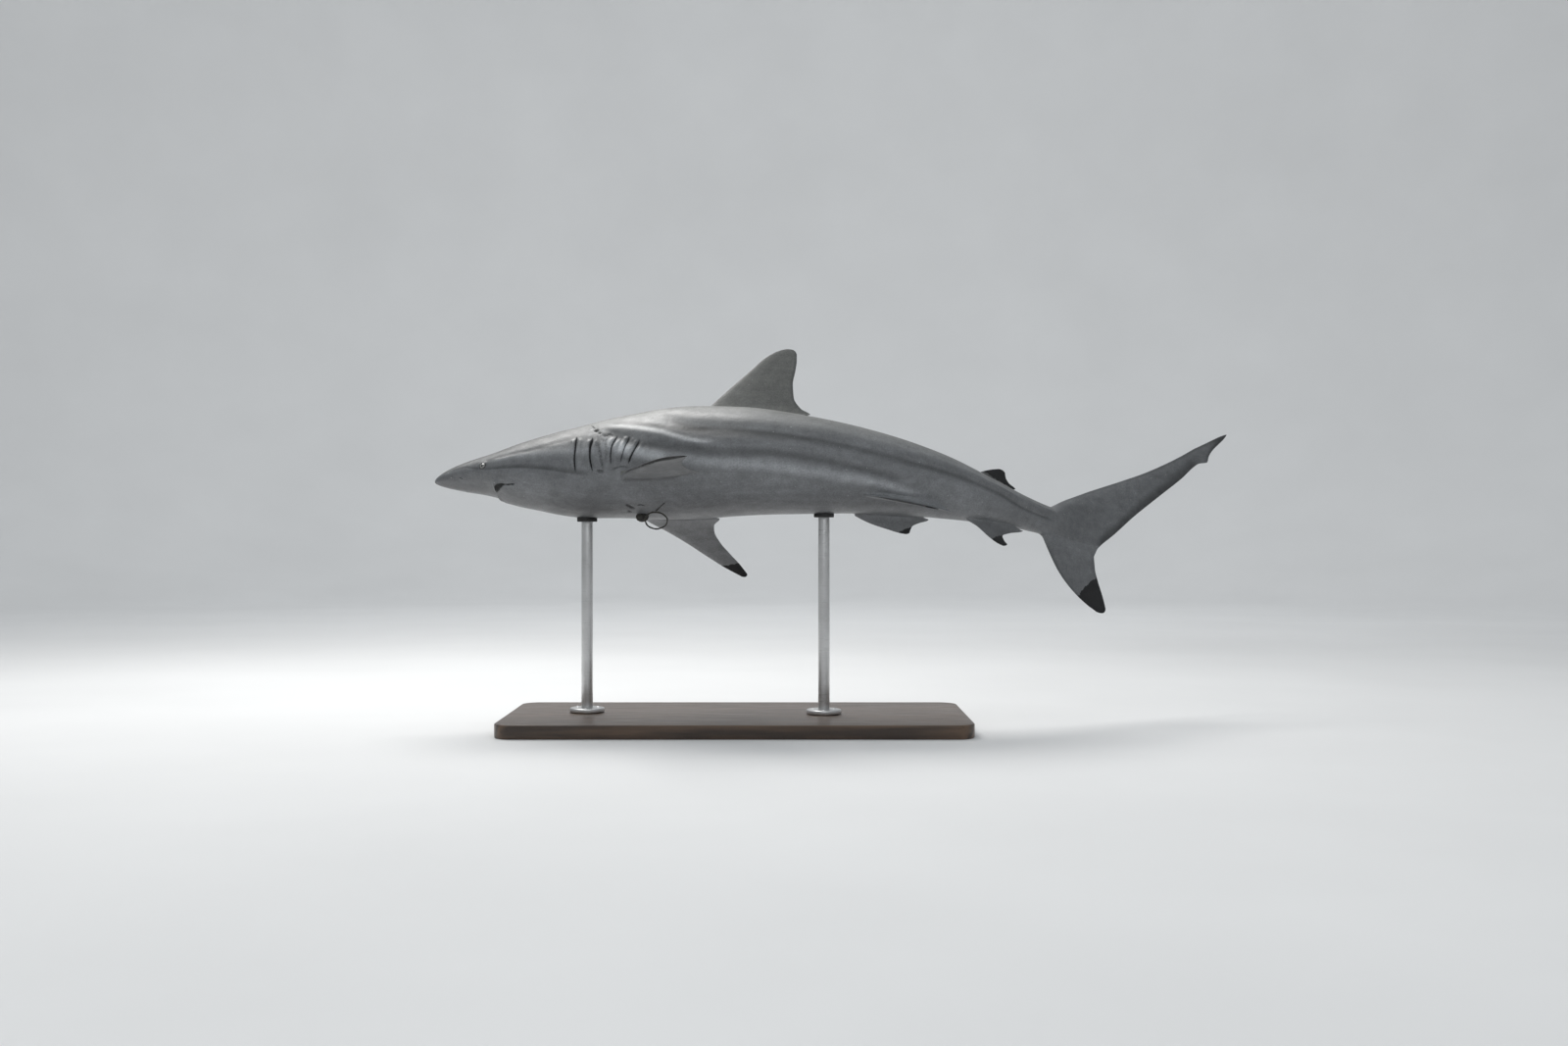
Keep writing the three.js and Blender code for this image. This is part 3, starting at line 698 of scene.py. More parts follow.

# Creases of the left side: depth and half width in mm, darkness (painted shade in the fold, the own dark
# colour of the scar, scuffs, tackle marks and fleck), raised lip, and their line.
CREASES = [
    # The scar over the gill slits, its arms, and the scuffs below it.
    (1.2, 6.0, 0.95, 0, [(366, 32.5), (369, 30), (372, 27)]),
    (0.3, 2.4, 0.66, 0, [(351, 48), (358, 41), (362, 37), (366, 34)]),
    (0.6, 3.8, 0.78, 0, [(373, 27), (377, 25), (381, 23)]),
    (0.3, 4.4, 0.68, 0, [(384, 22.5), (392, 20), (400, 21), (410, 17.5)]),
    (0.2, 4.0, 0.48, 0, [(379, 16), (390, 13), (399, 15)]),
    (0.2, 4.5, 0.4, 0, [(374, 20), (379, 8), (380, -4)]),
    (0.2, 5.0, 0.36, 0, [(392, 12), (397, 2), (396, -12)]),
    # A fold of skin between the second and third slits, and its foot, darkened with painted shade.
    (1.0, 4.0, 0.46, 0.4, [(368, 14), (381, 0), (386, -14), (390, -27)]),
    (0.6, 4.6, 0.62, 0, [(374, -25), (392, -28)]),
    # Where the tackle pulls at the skin of the throat.
    (0.8, 5.6, 0.84, 0, [(429, -74), (438, -79), (448, -83)]),
    (0.8, 5.8, 0.84, 0, [(431, -85), (438, -99)]),
    (0.5, 5.2, 0.84, 0, [(440, -90), (450, -97)]),
    (0.3, 2.4, 0.84, 0, [(453, -76), (463, -75), (473, -77)]),
    # A dark fleck under the tail's root.
    (0.6, 5.0, 1.0, 0.2, [(1426, -112), (1432, -116)]),
]
# Creases of both sides: in front of the pectoral fin, and the nostril, both darkened with painted shade.
FIN_CREASE = (1.2, 2.2, 0.4, 0.6, [(402, -27), (428, -22), (446, -24)])
NOSTRIL = (1.7, 1.2, 0.85, 0.4, [(61, -32), (66, -38), (70, -45)])
NOSTRIL_FLAP = [(64, -36), (67, -39.5)]
CREASE_TAPER = 0.3
NOSTRIL_TAPER = 0.4
# Pale scuffs round the scar: station, angle and size in mm.
PALE_SPOTS = [(356, 25, 7), (357, 34, 5), (385, 28, 7)]
MM_PER_DEGREE = 1.9

# Half the width of each gill slit, cut and darkened with painted shade, at its top, middle and foot, in
# mm.
SLIT_WIDTHS = [(1.4, 1.2, 1.0), (2.4, 1.4, 1.0), (1.2, 0.8, 0.5), (0.7, 0.6, 0.5), (0.6, 1.2, 1.5)]
SLIT_DEPTH = 3.0

# The mouth's gap on the left side, from the midline of the chin to the corner, and along it
# its half width and depth in mm and how dark it is painted with shade. On the right side it is shut, with
# a fainter line of painted shade.
MOUTH_GAP = [
    (136, -90), (141, -83), (144, -74), (148, -65), (154, -58.5), (163, -53), (173, -51.5), (188, -48),
]
MOUTH_SHARES = [0, 0.14, 0.24, 0.4, 0.55, 0.68, 0.78, 0.96, 1]
MOUTH_WIDTHS = [0.6, 0.8, 3.4, 6.2, 5.4, 3.0, 1.2, 1.7, 1.2]
MOUTH_DEPTHS = [0.2, 0.4, 2.6, 4.4, 4.0, 2.4, 1.2, 1.4, 0.8]
MOUTH_PAINTED_SHADES = [0, 0.1, 1, 1, 1, 1, 0.75, 0.9, 0.6]
MOUTH_SHUT = (0.9, 0.8, 0.4)
JAW_PROUD = 4.4  # how far the lower jaw stands out from the snout's underside

LINE_STEPS = 5  # straight pieces between two knots of a line


def fade(s, start, end, over):
    """1 between two stations, fading to 0 over a length beyond each."""
    return smoothstep((s - start) / over + 1) * smoothstep((end - s) / over + 1)


def on_side(line):
    """A smooth line through (station, angle in degrees) knots, on the body's left side."""
    knots = np.arange(len(line))
    at = np.linspace(0, len(line) - 1, LINE_STEPS * (len(line) - 1) + 1)
    columns = np.array(line, float).T
    station, angle = (smooth_curve(np.column_stack([knots, column]))(at) for column in columns)
    return body_point(station, np.radians(angle))


def near_line(points, line):
    """From each point to a line: the distance, the share of the way along, and how far back."""
    best = np.full(len(points), np.inf)
    along = np.zeros(len(points))
    behind = np.zeros(len(points))
    count = len(line) - 1
    for i in range(count):
        step = line[i + 1] - line[i]
        t = np.clip((points - line[i]) @ step / (step @ step), 0, 1)
        gap = points - (line[i] + t[:, None] * step)
        distance = np.linalg.norm(gap, axis=1)
        nearer = distance < best
        best = np.where(nearer, distance, best)
        along = np.where(nearer, (i + t) / count, along)
        behind = np.where(nearer, gap[:, 0], behind)
    return best, along, behind


class Relief:
    """Heights in mm to raise the body's skin by, and how dark each vertex is painted: painted shade in the
    gill slits, mouth, nostril and folds, and the own dark colour of the scar and marks.
    """

    def __init__(self, points, s, angle, left):
        self.points = points.copy()
        self.points[:, 1] = np.abs(points[:, 1])
        self.s, self.angle, self.left = s, angle, left
        self.height = np.zeros(len(s))
        self.cavity = np.zeros(len(s))

    def band(self, line, above, height, width, start, end, over):
        away = (self.angle - smooth_curve([(x, a + above) for x, a in line])(self.s)) / width
        self.height += height * bump(away) * fade(self.s, start, end, over)

    def region(self, line, margin):
        low, high = line[:, 0].min() - margin, line[:, 0].max() + margin
        return np.nonzero((self.s > low) & (self.s < high))[0]

    def darken(self, at, dark):
        self.cavity[at] = np.maximum(self.cavity[at], dark)

    def groove(self, depth, half_width, dark, lip, line, taper=CREASE_TAPER, only_left=False):
        """Cuts a groove along a line, with a raised lip either side, and darkens it by its darkness."""
        line = on_side(line)
        at = self.region(line, 4 * half_width + 6)
        distance, along, _ = near_line(self.points[at], line)
        ends = np.clip(np.minimum(along, 1 - along) / taper, 0, 1) ** 0.5
        width = half_width * (0.4 + 0.6 * ends)
        if only_left:
            ends = ends * self.left[at]
        cut = smoothstep(1.35 - distance / width) * ends
        self.height[at] += lip * hump(distance / width, 1.9, 1.3) * ends - depth * cut
        self.darken(at, dark * smoothstep(1.25 - distance / width) * ends)


def gill_slits(relief):
    """Each slit: a flap that swells towards its free edge, a cut darkened with painted shade, then skin
    that rises.
    """
    for row, widths in zip(GILL_SLITS, SLIT_WIDTHS):
        line = on_side(row)
        at = relief.region(line, 24)
        distance, along, behind = near_line(relief.points[at], line)
        ends = ramp(np.minimum(along, 1 - along), 0, 0.14)
        beside = distance < np.abs(behind) + 3
        width = np.interp(along, [0, 0.5, 1], widths) * (0.25 + 0.75 * ends)
        swelling = np.where(behind < 0, 2.1 * hump(behind, -6, 8), 1.3 * hump(behind, 9, 7))
        swelling -= 1.3 * hump(behind, 2, 4)
        relief.height[at] += swelling * ends * beside - SLIT_DEPTH * smoothstep(1.5 - distance / width)
        relief.darken(at, smoothstep(1.7 - distance / width))


def mouth(relief):
    """The gap between snout and lower jaw, wide in front and shut towards the corner, darkened with
    painted shade.
    """
    line = on_side(MOUTH_GAP)
    at = relief.region(line, 30)
    distance, along, behind = near_line(relief.points[at], line)
    rows = (MOUTH_WIDTHS, MOUTH_DEPTHS, MOUTH_PAINTED_SHADES)
    half_width, depth, dark = (
        np.where(relief.left[at], np.interp(along, MOUTH_SHARES, row), shut)
        for row, shut in zip(rows, MOUTH_SHUT))
    relief.height[at] -= depth * smoothstep(1.3 - distance / half_width)
    relief.darken(at, dark * smoothstep((1.35 - distance / half_width) * 2.2))
    lip = hump(distance - half_width, 3.2, 3.6) * (1 - 0.5 * along) * ramp(along, 0, 0.3)
    relief.height[at] += np.where(behind > 0, 1.2, 0.6) * lip
    # The lower jaw starts with a step.
    inside = smoothstep(hump(relief.angle, -90, 60) * 1.6)
    jaw = ramp(relief.s, 134, 143) * ramp(relief.s, 236, 156)
    relief.height += inside * (JAW_PROUD * jaw - hump(relief.s, 122, 18))


def body_relief(points, s, angle, left):
    """How far to raise the body's skin at each vertex, and how dark it is painted: painted shade in the
    slits, mouth, nostril and folds, and the own dark colour of the scar and marks.
    """
    relief = Relief(points, s, angle, left)
    for band in RELIEF_BANDS:
        relief.band(*band)
    # A pit above the tail's root.
    relief.height -= 1.6 * hump(relief.s, 1452, 9) * hump(relief.angle, 90, 40)
    gill_slits(relief)
    mouth(relief)
    relief.groove(*NOSTRIL, taper=NOSTRIL_TAPER)
    relief.height += 0.9 * bump(near_line(relief.points, on_side(NOSTRIL_FLAP))[0] / 2.2)
    for crease in CREASES:
        relief.groove(*crease, only_left=True)
    relief.groove(*FIN_CREASE)
    # The skin runs flat up to the holes that the eyes sit in.
    from_eye = np.linalg.norm(relief.points - eye_frame(1)[0], axis=1)
    return relief.height * ramp(from_eye, 22, 38), relief.cavity


def body_tone(s, angle):
    """How pale the skin is, about 1 on the belly, with painted shade and painted highlights besides the
    skin's own markings.
    """
    above_boundary = smoothstep((angle - smooth_curve(HEAD_BOUNDARY)(s)) / 3 + 0.5)
    upper_gain = 0.22 * ramp(s, 700, 900) - 0.66
    upper_below = np.interp(s, [600, 850, 1000], [17, 11, 9])
    lower_gain = -np.interp(s, [480, 540, 640, 720], [0.46, 0.32, 0.32, 0.44])
    sheen_gain = 1.6 + 0.9 * hump(s, 434, 24)
    # Line, how far above it in degrees, gain, reach above and below the line, first and last
    # station, and the length over which each end fades.
    bands = [
        (HEAD_BOUNDARY, 2, -0.42 * above_boundary, 9, 9, 60, 330, 50),
        (HEAD_PALE, 0, 0.45, 12, 12, 190, 350, 60),
        # Painted shade along the groove from over the eye to the nape.
        (HEAD_GROOVE, 0, -0.52, 7, 7, 130, 310, 50),
        # Painted shade along the back, above the painted highlight.
        (BACK_SHADE_LINE, 0, -0.76, 5, 5, 430, 600, 40),
        # The dark bands: partly the skin's own bands, partly painted shade in their grooves.
        (UPPER_BAND, 0, upper_gain, 6, upper_below, 560, 1400, 50),
        (LOWER_BAND, 0, lower_gain, 9, 9, 450, 960, 60),
        # Painted highlight along the ridge of the back.
        (HIGHLIGHT_RIDGE, 0, 0.85, 5, 5, 430, 590, 60),
        (PALE_FLANK, 0, 0.7, 10, 10, 560, 1000, 90),
        # Painted sheen between the last gill slits.
        (PAINTED_SHEEN, 0, sheen_gain, 13, 13, 410, 500, 40),
    ]
    tone = np.ones(len(s))
    for line, shift, gain, reach_above, reach_below, start, end, over in bands:
        off = angle - smooth_curve([(x, a + shift) for x, a in line])(s)
        away = bump(off / np.where(off > 0, reach_above, reach_below))
        tone *= 1 + gain * away * fade(s, start, end, over)
    # The head's dark cap; painted shade over the top of the head and under the snout and throat; the
    # cheek; and the belly, paler partly by its own colour and partly by painted light.
    tone *= 1 - 0.04 * above_boundary * ramp(s, 430, 320)
    # Painted shade: the top of the head is painted darker.
    tone *= 1 - 0.46 * ramp(angle, 18, 36) * fade(s, 60, 236, 115)
    tone *= 1 + 0.24 * ramp(angle, -16, -24) * hump(s, 228, 60)
    tone *= 1 + 0.14 * hump(s, 330, 60) * ramp(angle, 20, 0)
    # Painted shade: the underside of the head and throat is painted darker.
    tone *= 1 - 0.38 * ramp(angle, -52, -86) * ramp(s, 480, 320)
    # The lower flank paler behind the head: partly its own pale colour, partly painted light.
    tone *= 1 + 0.14 * ramp(angle, -12, -26) * ramp(s, 370, 430)
    tone *= 1 + 0.12 * hump(angle, -62, 22) * fade(s, 420, 800, 60)
    tone *= 1 + 0.3 * hump(angle, -54, 14) * hump(s, 1010, 70)
    for station, side, size in PALE_SPOTS:
        tone *= 1 + 0.9 * bump(np.hypot(s - station, (angle - side) * MM_PER_DEGREE) / size)
    return tone


# ---------------- the skin as one mesh

# Fin roots are rounded into the body within this distance of the hole's rim, in mm.
FILLETS = {
    "first_dorsal": 9, "second_dorsal": 5, "anal": 5, "lower_caudal": 26,
    "pectoral_left": 28, "pectoral_right": 14, "pelvic_left": 9, "pelvic_right": 5,
}
FILLET_STRENGTH = 0.6
FILLET_PASSES = 40
# Black fin tips: where the black begins on the leading and trailing edges, and the fin's length.
BLACK_TIPS = {
    "first_dorsal": (1.2, 1.03, 200),
    "second_dorsal": (0.42, 0.1, 60),
    "anal": (0.66, 0.56, 60),
    "lower_caudal": (0.76, 0.6, 205),
    "pectoral_left": (0.93, 0.97, 240),
    "pectoral_right": (0.83, 0.83, 240),
    "pelvic_left": (0.82, 0.66, 60),
    "pelvic_right": (0.82, 0.66, 60),
}
NOT_BLACK = -60.0
# How pale the pectoral fins' undersides are, compared with the body: painted shade under the near fin,
# painted light under the far one.
FIN_UNDERSIDE_PAINTED_LIGHT = {"pectoral_left": 0.84, "pectoral_right": 1.3}
TONE_OVER_FIN = 0.9
# Painted shade: the tail is painted this much darker than the body.
PAINTED_TAIL_SHADE = 0.16  # how much darker the tail is than the body


def fin_dusk_and_shade(name, t, x, behind_lead, before_trail):
    """How dusky a fin is at t, x and some mm from its leading and trailing edges, with painted shade along
    the first dorsal's leading edge and painted shadow along the near pectoral's and near pelvic's,
    and the mm inside any black there besides its tip."""
    root = smoothstep((t - 0.12) / 0.2)
    if name == "first_dorsal":
        # rear: the dark rear margin by the apex. fore: painted shade along the leading edge.
        rear, fore = smoothstep(1.2 - before_trail / 7), smoothstep(1.3 - behind_lead / 5)
        return root * (0.1 + 0.5 * rear + 0.75 * fore), 60 * (t - 0.9) - 34 * (1 - x) - 3
    if name == "lower_caudal":
        return 0.45 * root * (smoothstep((x - 0.86) / 0.14) + bump(x / 0.08)), NOT_BLACK
    # A black leading edge on the near pectoral: partly the fin's own dark margin, partly painted shadow.
    if name == "pectoral_left":
        width = 2 + 4 * smoothstep((t - 0.2) / 0.4) + 12 * smoothstep((t - 0.62) / 0.3)
        edge = width - behind_lead
        dusk_and_shade = 1.3 * smoothstep(edge / 2 + 0.5) * smoothstep((t - 0.1) / 0.15)
        return dusk_and_shade, np.where(t > 0.4, edge - 3, NOT_BLACK)
    # Painted shadow along the near pelvic's leading edge.
    if name == "pelvic_left":
        edge = 10 * smoothstep((t - 0.2) / 0.35) - behind_lead
        return smoothstep(edge / 2.5 + 0.5), NOT_BLACK
    return {"second_dorsal": 0.6, "anal": 0.25}.get(name, 0) * root, NOT_BLACK


def tail_dusk(skin):
    """How dusky the tail's upper lobe is: its edges, the notch under its tip, and the tip."""
    t = np.repeat(skin.caudal, COLUMNS)
    angle = 2 * math.pi * np.arange(COLUMNS) / COLUMNS
    x = np.tile((1 - np.sin(angle)) / 2, len(skin.caudal))
    chord = chord_length(caudal_curves, t)
    hind = smoothstep(1.2 - (1 - x) * chord / 25) * fade(t, 0.26, 0.84, 0.06)
    fore = smoothstep(1.1 - x * chord / 9) * smoothstep((t - 0.03) / 0.05)
    notch = smoothstep(1 - (1 - x) * chord / 12) * smoothstep((t - 0.9) / 0.04)
    tip = smoothstep((t - 0.95) / 0.04)
    return np.clip(0.9 * hind + 0.75 * fore + 0.8 * notch + tip, 0, 1)


def fin_marks(skin, count):
    """On each vertex: how many mm inside a fin's black tip it is, and how dusky the fin is, with painted
    shade and shadow along some fin edges.
    """
    black = np.full(count, NOT_BLACK)
    dusk_and_shade = np.zeros(count)
    for part in skin.grown:
        if part["name"] in BLACK_TIPS:
            name, at, t, x, chord = (part[key] for key in ("name", "at", "t", "x", "chord"))
            lead, trail, length = BLACK_TIPS[name]
            dusk_and_shade[at], more_black = fin_dusk_and_shade(name, t, x, x * chord, (1 - x) * chord)
            black[at] = np.maximum((t - lead - (trail - lead) * x) * length, more_black)
    tail = len(skin.stations) * COLUMNS
    dusk_and_shade[tail:tail + len(skin.caudal) * COLUMNS] = tail_dusk(skin)
    return black, dusk_and_shade


def mark_fins(skin, straight, tone, upper):
    """Carries the body's tone on to the roots of the fins, gives their upper sides the back's colour, and
    paints shade on the near pectoral's underside and light on the far one's.
    """
    for part in skin.grown:
        at = part["at"]
        near_root = smoothstep(1 - (part["t"] - 0.12) / 0.3) if "t" in part else 1
        angle = angle_of(straight[at])
        tone[at] = 1 + (body_tone(straight[at, 0], angle) - 1) * near_root
        upper[at] = smoothstep((angle + 5) / 80)
        # Painted shade under the near pectoral, painted light under the far one.
        if part["name"] in FIN_UNDERSIDE_PAINTED_LIGHT:
            above = part["side"] > 0
            upper[at] = above
            tone[at] *= np.where(above, TONE_OVER_FIN, FIN_UNDERSIDE_PAINTED_LIGHT[part["name"]])


def round_fin_roots(skin, points, faces):
    """Rounds the fins' roots into the body. The eye sockets keep their edges."""
    weight = np.zeros(len(points))
    for part in skin.grown:
        reach = FILLETS.get(part["name"])
        if reach:
            distance = distance_to(points, points[part["rim"]], reach)
            weight = np.maximum(weight, smoothstep((1 - distance / reach) * 1.6))
    return relax(points, edges_of(faces), weight * FILLET_STRENGTH, FILLET_PASSES)


def build_skin(name, material):
    skin = Skin()
    add_fins(skin)
    for side in SIDES.values():
        add_eye_socket(skin, side)
    straight = np.concatenate(skin.points)
    faces = np.concatenate([skin.grid_faces(), *skin.faces])
    points = bend(straight)
    corner = points[faces]
    volume = np.einsum("ij,ij->", corner[:, 0], np.cross(corner[:, 1] + corner[:, 3], corner[:, 2]))
    if volume < 0:
        faces = faces[:, ::-1]
    points = round_fin_roots(skin, points, faces)

    # The body's relief and tone, from the station and the angle of each of its vertices.
    body = np.arange(len(skin.stations) * COLUMNS)
    s = straight[body, 0]
    angle = 360 * (body % COLUMNS) / COLUMNS
    angle = np.where(angle > 180, angle - 360, angle)
    left = np.abs(angle) <= 90
    angle = np.where(left, angle, np.sign(angle) * 180 - angle)
    height, cavity = body_relief(straight[body], s, angle, left)
    points[body] += vertex_normals(points, faces)[body] * height[:, None]
    tone, upper, vertex_shade_and_marks = np.ones(len(points)), np.zeros(len(points)), np.zeros(len(points))
    tone[body] = body_tone(s, angle)
    upper[body] = smoothstep((angle + 5) / 80)
    # Painted shade in the slits, mouth and creases, and the scar's and marks' own dark colour.
    vertex_shade_and_marks[body] = cavity
    mark_fins(skin, straight, tone, upper)
    # Painted shade on the tail.
    tone *= 1 - PAINTED_TAIL_SHADE * ramp(straight[:, 0], 1120, 1380)

    black, dusk_and_shade = fin_marks(skin, len(points))
    values = {"tone": tone, "black": black, "dusk_and_shade": dusk_and_shade, "cavity": vertex_shade_and_marks, "upper": upper}
    return mesh_object(name, points * MM, faces, material, straight * MM, values)


def scene_object(name, data):
    obj = bpy.data.objects.new(name, data)
    bpy.context.scene.collection.objects.link(obj)
    return obj


def mesh_object(name, points, faces, material, rest=None, values=None):
    """A smooth mesh from quads, where a repeated corner makes a triangle, without the
    vertices that no face uses. rest is where the material's pattern is measured."""
    rest = points if rest is None else rest
    used, faces = np.unique(faces, return_inverse=True)
    faces = faces.reshape(-1, 4)
    keep = faces != np.roll(faces, -1, axis=1)
    sizes = keep.sum(1)
    whole = sizes >= 3
    faces, keep, sizes = faces[whole], keep[whole], sizes[whole]
    starts = np.concatenate([[0], np.cumsum(sizes)[:-1]])
    mesh = bpy.data.meshes.new(name)
    mesh.vertices.add(len(used))
    mesh.vertices.foreach_set("co", points[used].astype(np.float32).ravel())
    mesh.loops.add(int(sizes.sum()))
    mesh.loops.foreach_set("vertex_index", faces[keep].astype(np.int32))
    mesh.polygons.add(len(sizes))
    mesh.polygons.foreach_set("loop_start", starts.astype(np.int32))
    mesh.polygons.foreach_set("use_smooth", np.ones(len(sizes), bool))
    for key, numbers in (values or {}).items():
        data = mesh.attributes.new(key, "FLOAT", "POINT").data
        data.foreach_set("value", numbers[used].astype(np.float32))
    data = mesh.attributes.new("rest", "FLOAT_VECTOR", "POINT").data
    data.foreach_set("vector", rest[used].astype(np.float32).ravel())
    mesh.update(calc_edges=True)
    mesh.validate()
    mesh.materials.append(material)
    return scene_object(name, mesh)


# ---------------- materials


class Shader:
    """A material whose nodes are added by name, with values or other nodes' sockets as inputs."""

    def __init__(self, name, **principled):
        self.material = bpy.data.materials.new(name)
        self.material.use_nodes = True
        self.tree = self.material.node_tree
        self.surface = self.tree.nodes["Principled BSDF"]
        self.set(self.surface, principled)

    def set(self, node, inputs):
        for key, value in inputs.items():
            socket = node.inputs[key if isinstance(key, int) else key.replace("_", " ")]
            if isinstance(value, bpy.types.NodeSocket):
                self.tree.links.new(value, socket)
            else:
                socket.default_value = value

    def outputs(self, kind, inputs=None, **settings):
        node = self.tree.nodes.new("ShaderNode" + kind)
        for key, value in settings.items():
            setattr(node, key, value)
        self.set(node, inputs or {})
        return node.outputs

    def node(self, kind, inputs=None, output=0, **settings):
        return self.outputs(kind, inputs, **settings)[output]

    def attribute(self, name, output="Fac"):
        return self.node("Attribute", output=output, attribute_name=name)

    def noise(self, vector, scale, detail=3, roughness=0.5):
        inputs = {"Vector": vector, "Scale": scale, "Detail": detail, "Roughness": roughness}
        return self.node("TexNoise", inputs)

    def math(self, operation, *values):
        return self.node("Math", dict(enumerate(values)), operation=operation)

    def times(self, first, *others):
        for value in others:
            first = self.math("MULTIPLY", first, value)
        return first

    def plus(self, a, b):
        return self.math("ADD", a, b)

    def wander(self, noise, reach):
        """A noise as a number either side of 0."""
        return self.times(self.math("SUBTRACT", noise, 0.5), reach)

    def spread(self, value, low, high, to_low=0.0, to_high=1.0, smooth=False):
        inputs = {"Value": value, "From Min": low, "From Max": high, "To Min": to_low, "To Max": to_high}
        kind = "SMOOTHSTEP" if smooth else "LINEAR"
        return self.node("MapRange", inputs, interpolation_type=kind)

    def mix(self, share, a, b, blend="MIX"):
        inputs = {0: share, 6: a, 7: b}
        return self.node("Mix", inputs, output=2, data_type="RGBA", blend_type=blend)

    def scaled(self, vector, scale):
        return self.node("Mapping", {"Vector": vector, "Scale": scale})

    def bump(self, height, distance, strength=1.0, under=None):
        inputs = {"Height": height, "Distance": distance, "Strength": strength}
        if under is not None:
            inputs["Normal"] = under
        return self.node("Bump", inputs)

    def finish(self, **principled):
        self.set(self.surface, principled)
        return self.material


def grey(value, warm=0.0):
    return (value * (1 + warm), value, value * (1 - warm), 1)


SKIN_PALE = (0.132, 0.137, 0.143, 1)
SKIN_OLIVE = (0.128, 0.13, 0.122, 1)
# Dusky fin edges, and painted shadow lines along some of them.
SKIN_DUSK_AND_SHADE = (0.03, 0.031, 0.033, 1)
SKIN_BLACK = (0.010, 0.010, 0.011, 1)
IRIS_DARK = (0.065, 0.065, 0.061, 1)
IRIS_PALE = (0.26, 0.26, 0.247, 1)
FOULING = (0.06, 0.058, 0.045, 1)
WALNUT_DARK = (0.030, 0.017, 0.010, 1)
WALNUT_LIGHT = (0.105, 0.062, 0.036, 1)
WALNUT_PORE = (0.012, 0.007, 0.004, 1)


def pale_flecks(m, rest):
    """Small pale flecks, a few millimetres apart and of several sizes: how much one covers."""
    shake = m.outputs("TexNoise", {"Vector": rest, "Scale": 420.0, "Detail": 2.0})["Color"]
    shake = m.node("VectorMath", {0: shake, 1: (0.0022, 0.0022, 0.0022)}, operation="MULTIPLY")
    at = m.node("VectorMath", {0: rest, 1: shake}, operation="ADD")
    cell = m.outputs("TexVoronoi", {"Vector": at, "Scale": 130.0})
    chosen = m.spread(m.node("SeparateColor", {0: cell["Color"]}), 0.55, 0.57)
    size = m.math("POWER", m.node("SeparateColor", {0: cell["Color"]}, output=1), 4.0)
    radius = m.plus(0.05, m.times(size, 0.13))
    dot = m.spread(m.math("SUBTRACT", cell["Distance"], radius), -0.04, 0.03, 1, 0, True)
    return m.times(dot, chosen, 0.55)


def skin_material():
    m = Shader("shark_skin", Roughness=0.4)
    rest = m.attribute("rest", "Vector")
    cloudy = m.spread(m.noise(rest, 7, 4, 0.55), 0.3, 0.7, 0.88, 1.12)
    mottled = m.spread(m.noise(rest, 55, 5, 0.6), 0.3, 0.7, 0.84, 1.16)
    grain = m.spread(m.noise(rest, 330, 3, 0.7), 0.25, 0.75, 0.72, 1.28)
    streaky = m.spread(m.noise(m.scaled(rest, (4, 30, 30)), 1.6, 4, 0.6), 0.3, 0.7, 0.9, 1.1)
    shade = m.times(m.times(cloudy, mottled), m.times(grain, streaky), m.attribute("tone"))
    colour = m.mix(m.attribute("upper"), SKIN_PALE, SKIN_OLIVE)
    colour = m.mix(1.0, colour, m.node("CombineColor", {0: shade, 1: shade, 2: shade}), "MULTIPLY")
    colour = m.mix(pale_flecks(m, rest), colour, grey(0.4))

    # Dusky fin edges, with painted shadow along some of them; ragged black tips; and the skin darkened in
    # the slits, mouth, nostril and creases with painted shade, and on the scar and marks with their own
    # dark colour.
    dusk_and_shade = m.times(m.attribute("dusk_and_shade"), m.spread(m.noise(rest, 90, 4), 0.3, 0.7, 0.8, 1.1))
    colour = m.mix(dusk_and_shade, colour, SKIN_DUSK_AND_SHADE)
    ragged = m.wander(m.noise(rest, 90, 4, 0.6), 13.0)
    black = m.spread(m.plus(m.attribute("black"), ragged), -0.7, 0.7, 0, 1, True)
    colour = m.mix(black, colour, SKIN_BLACK)
    # Painted shade in the slits, mouth and creases, and the dark of the scar and marks, with a broken
    # edge.
    shade_and_mark_wobble = m.wander(m.noise(rest, 300, 4, 0.7), 9.0)
    cavity = m.attribute("cavity")
    between = m.times(cavity, m.math("SUBTRACT", 1.0, cavity))
    shade_and_mark_share = m.spread(m.plus(cavity, m.times(shade_and_mark_wobble, between)), 0.0, 1.0, 0, 0.96)
    colour = m.mix(shade_and_mark_share, colour, grey(0.004))

    roughness = m.spread(m.noise(rest, 30, 4, 0.6), 0.3, 0.7, 0.38, 0.52)
    roughness = m.plus(roughness, m.times(m.attribute("upper"), 0.08))
    roughness = m.plus(roughness, m.times(m.math("MAXIMUM", shade_and_mark_share, black), 0.4))
    denticles = m.bump(m.noise(rest, 1500, 2, 0.6), 0.00018, 0.6)
    wrinkles = m.bump(m.noise(m.scaled(rest, (1, 0.6, 0.6)), 150, 4, 0.55), 0.0008, 0.6, denticles)
    soft = m.bump(m.noise(m.scaled(rest, (0.35, 1, 1)), 26, 3, 0.5), 0.0018, 0.5, wrinkles)
    return m.finish(Base_Color=colour, Roughness=roughness, Normal=soft)


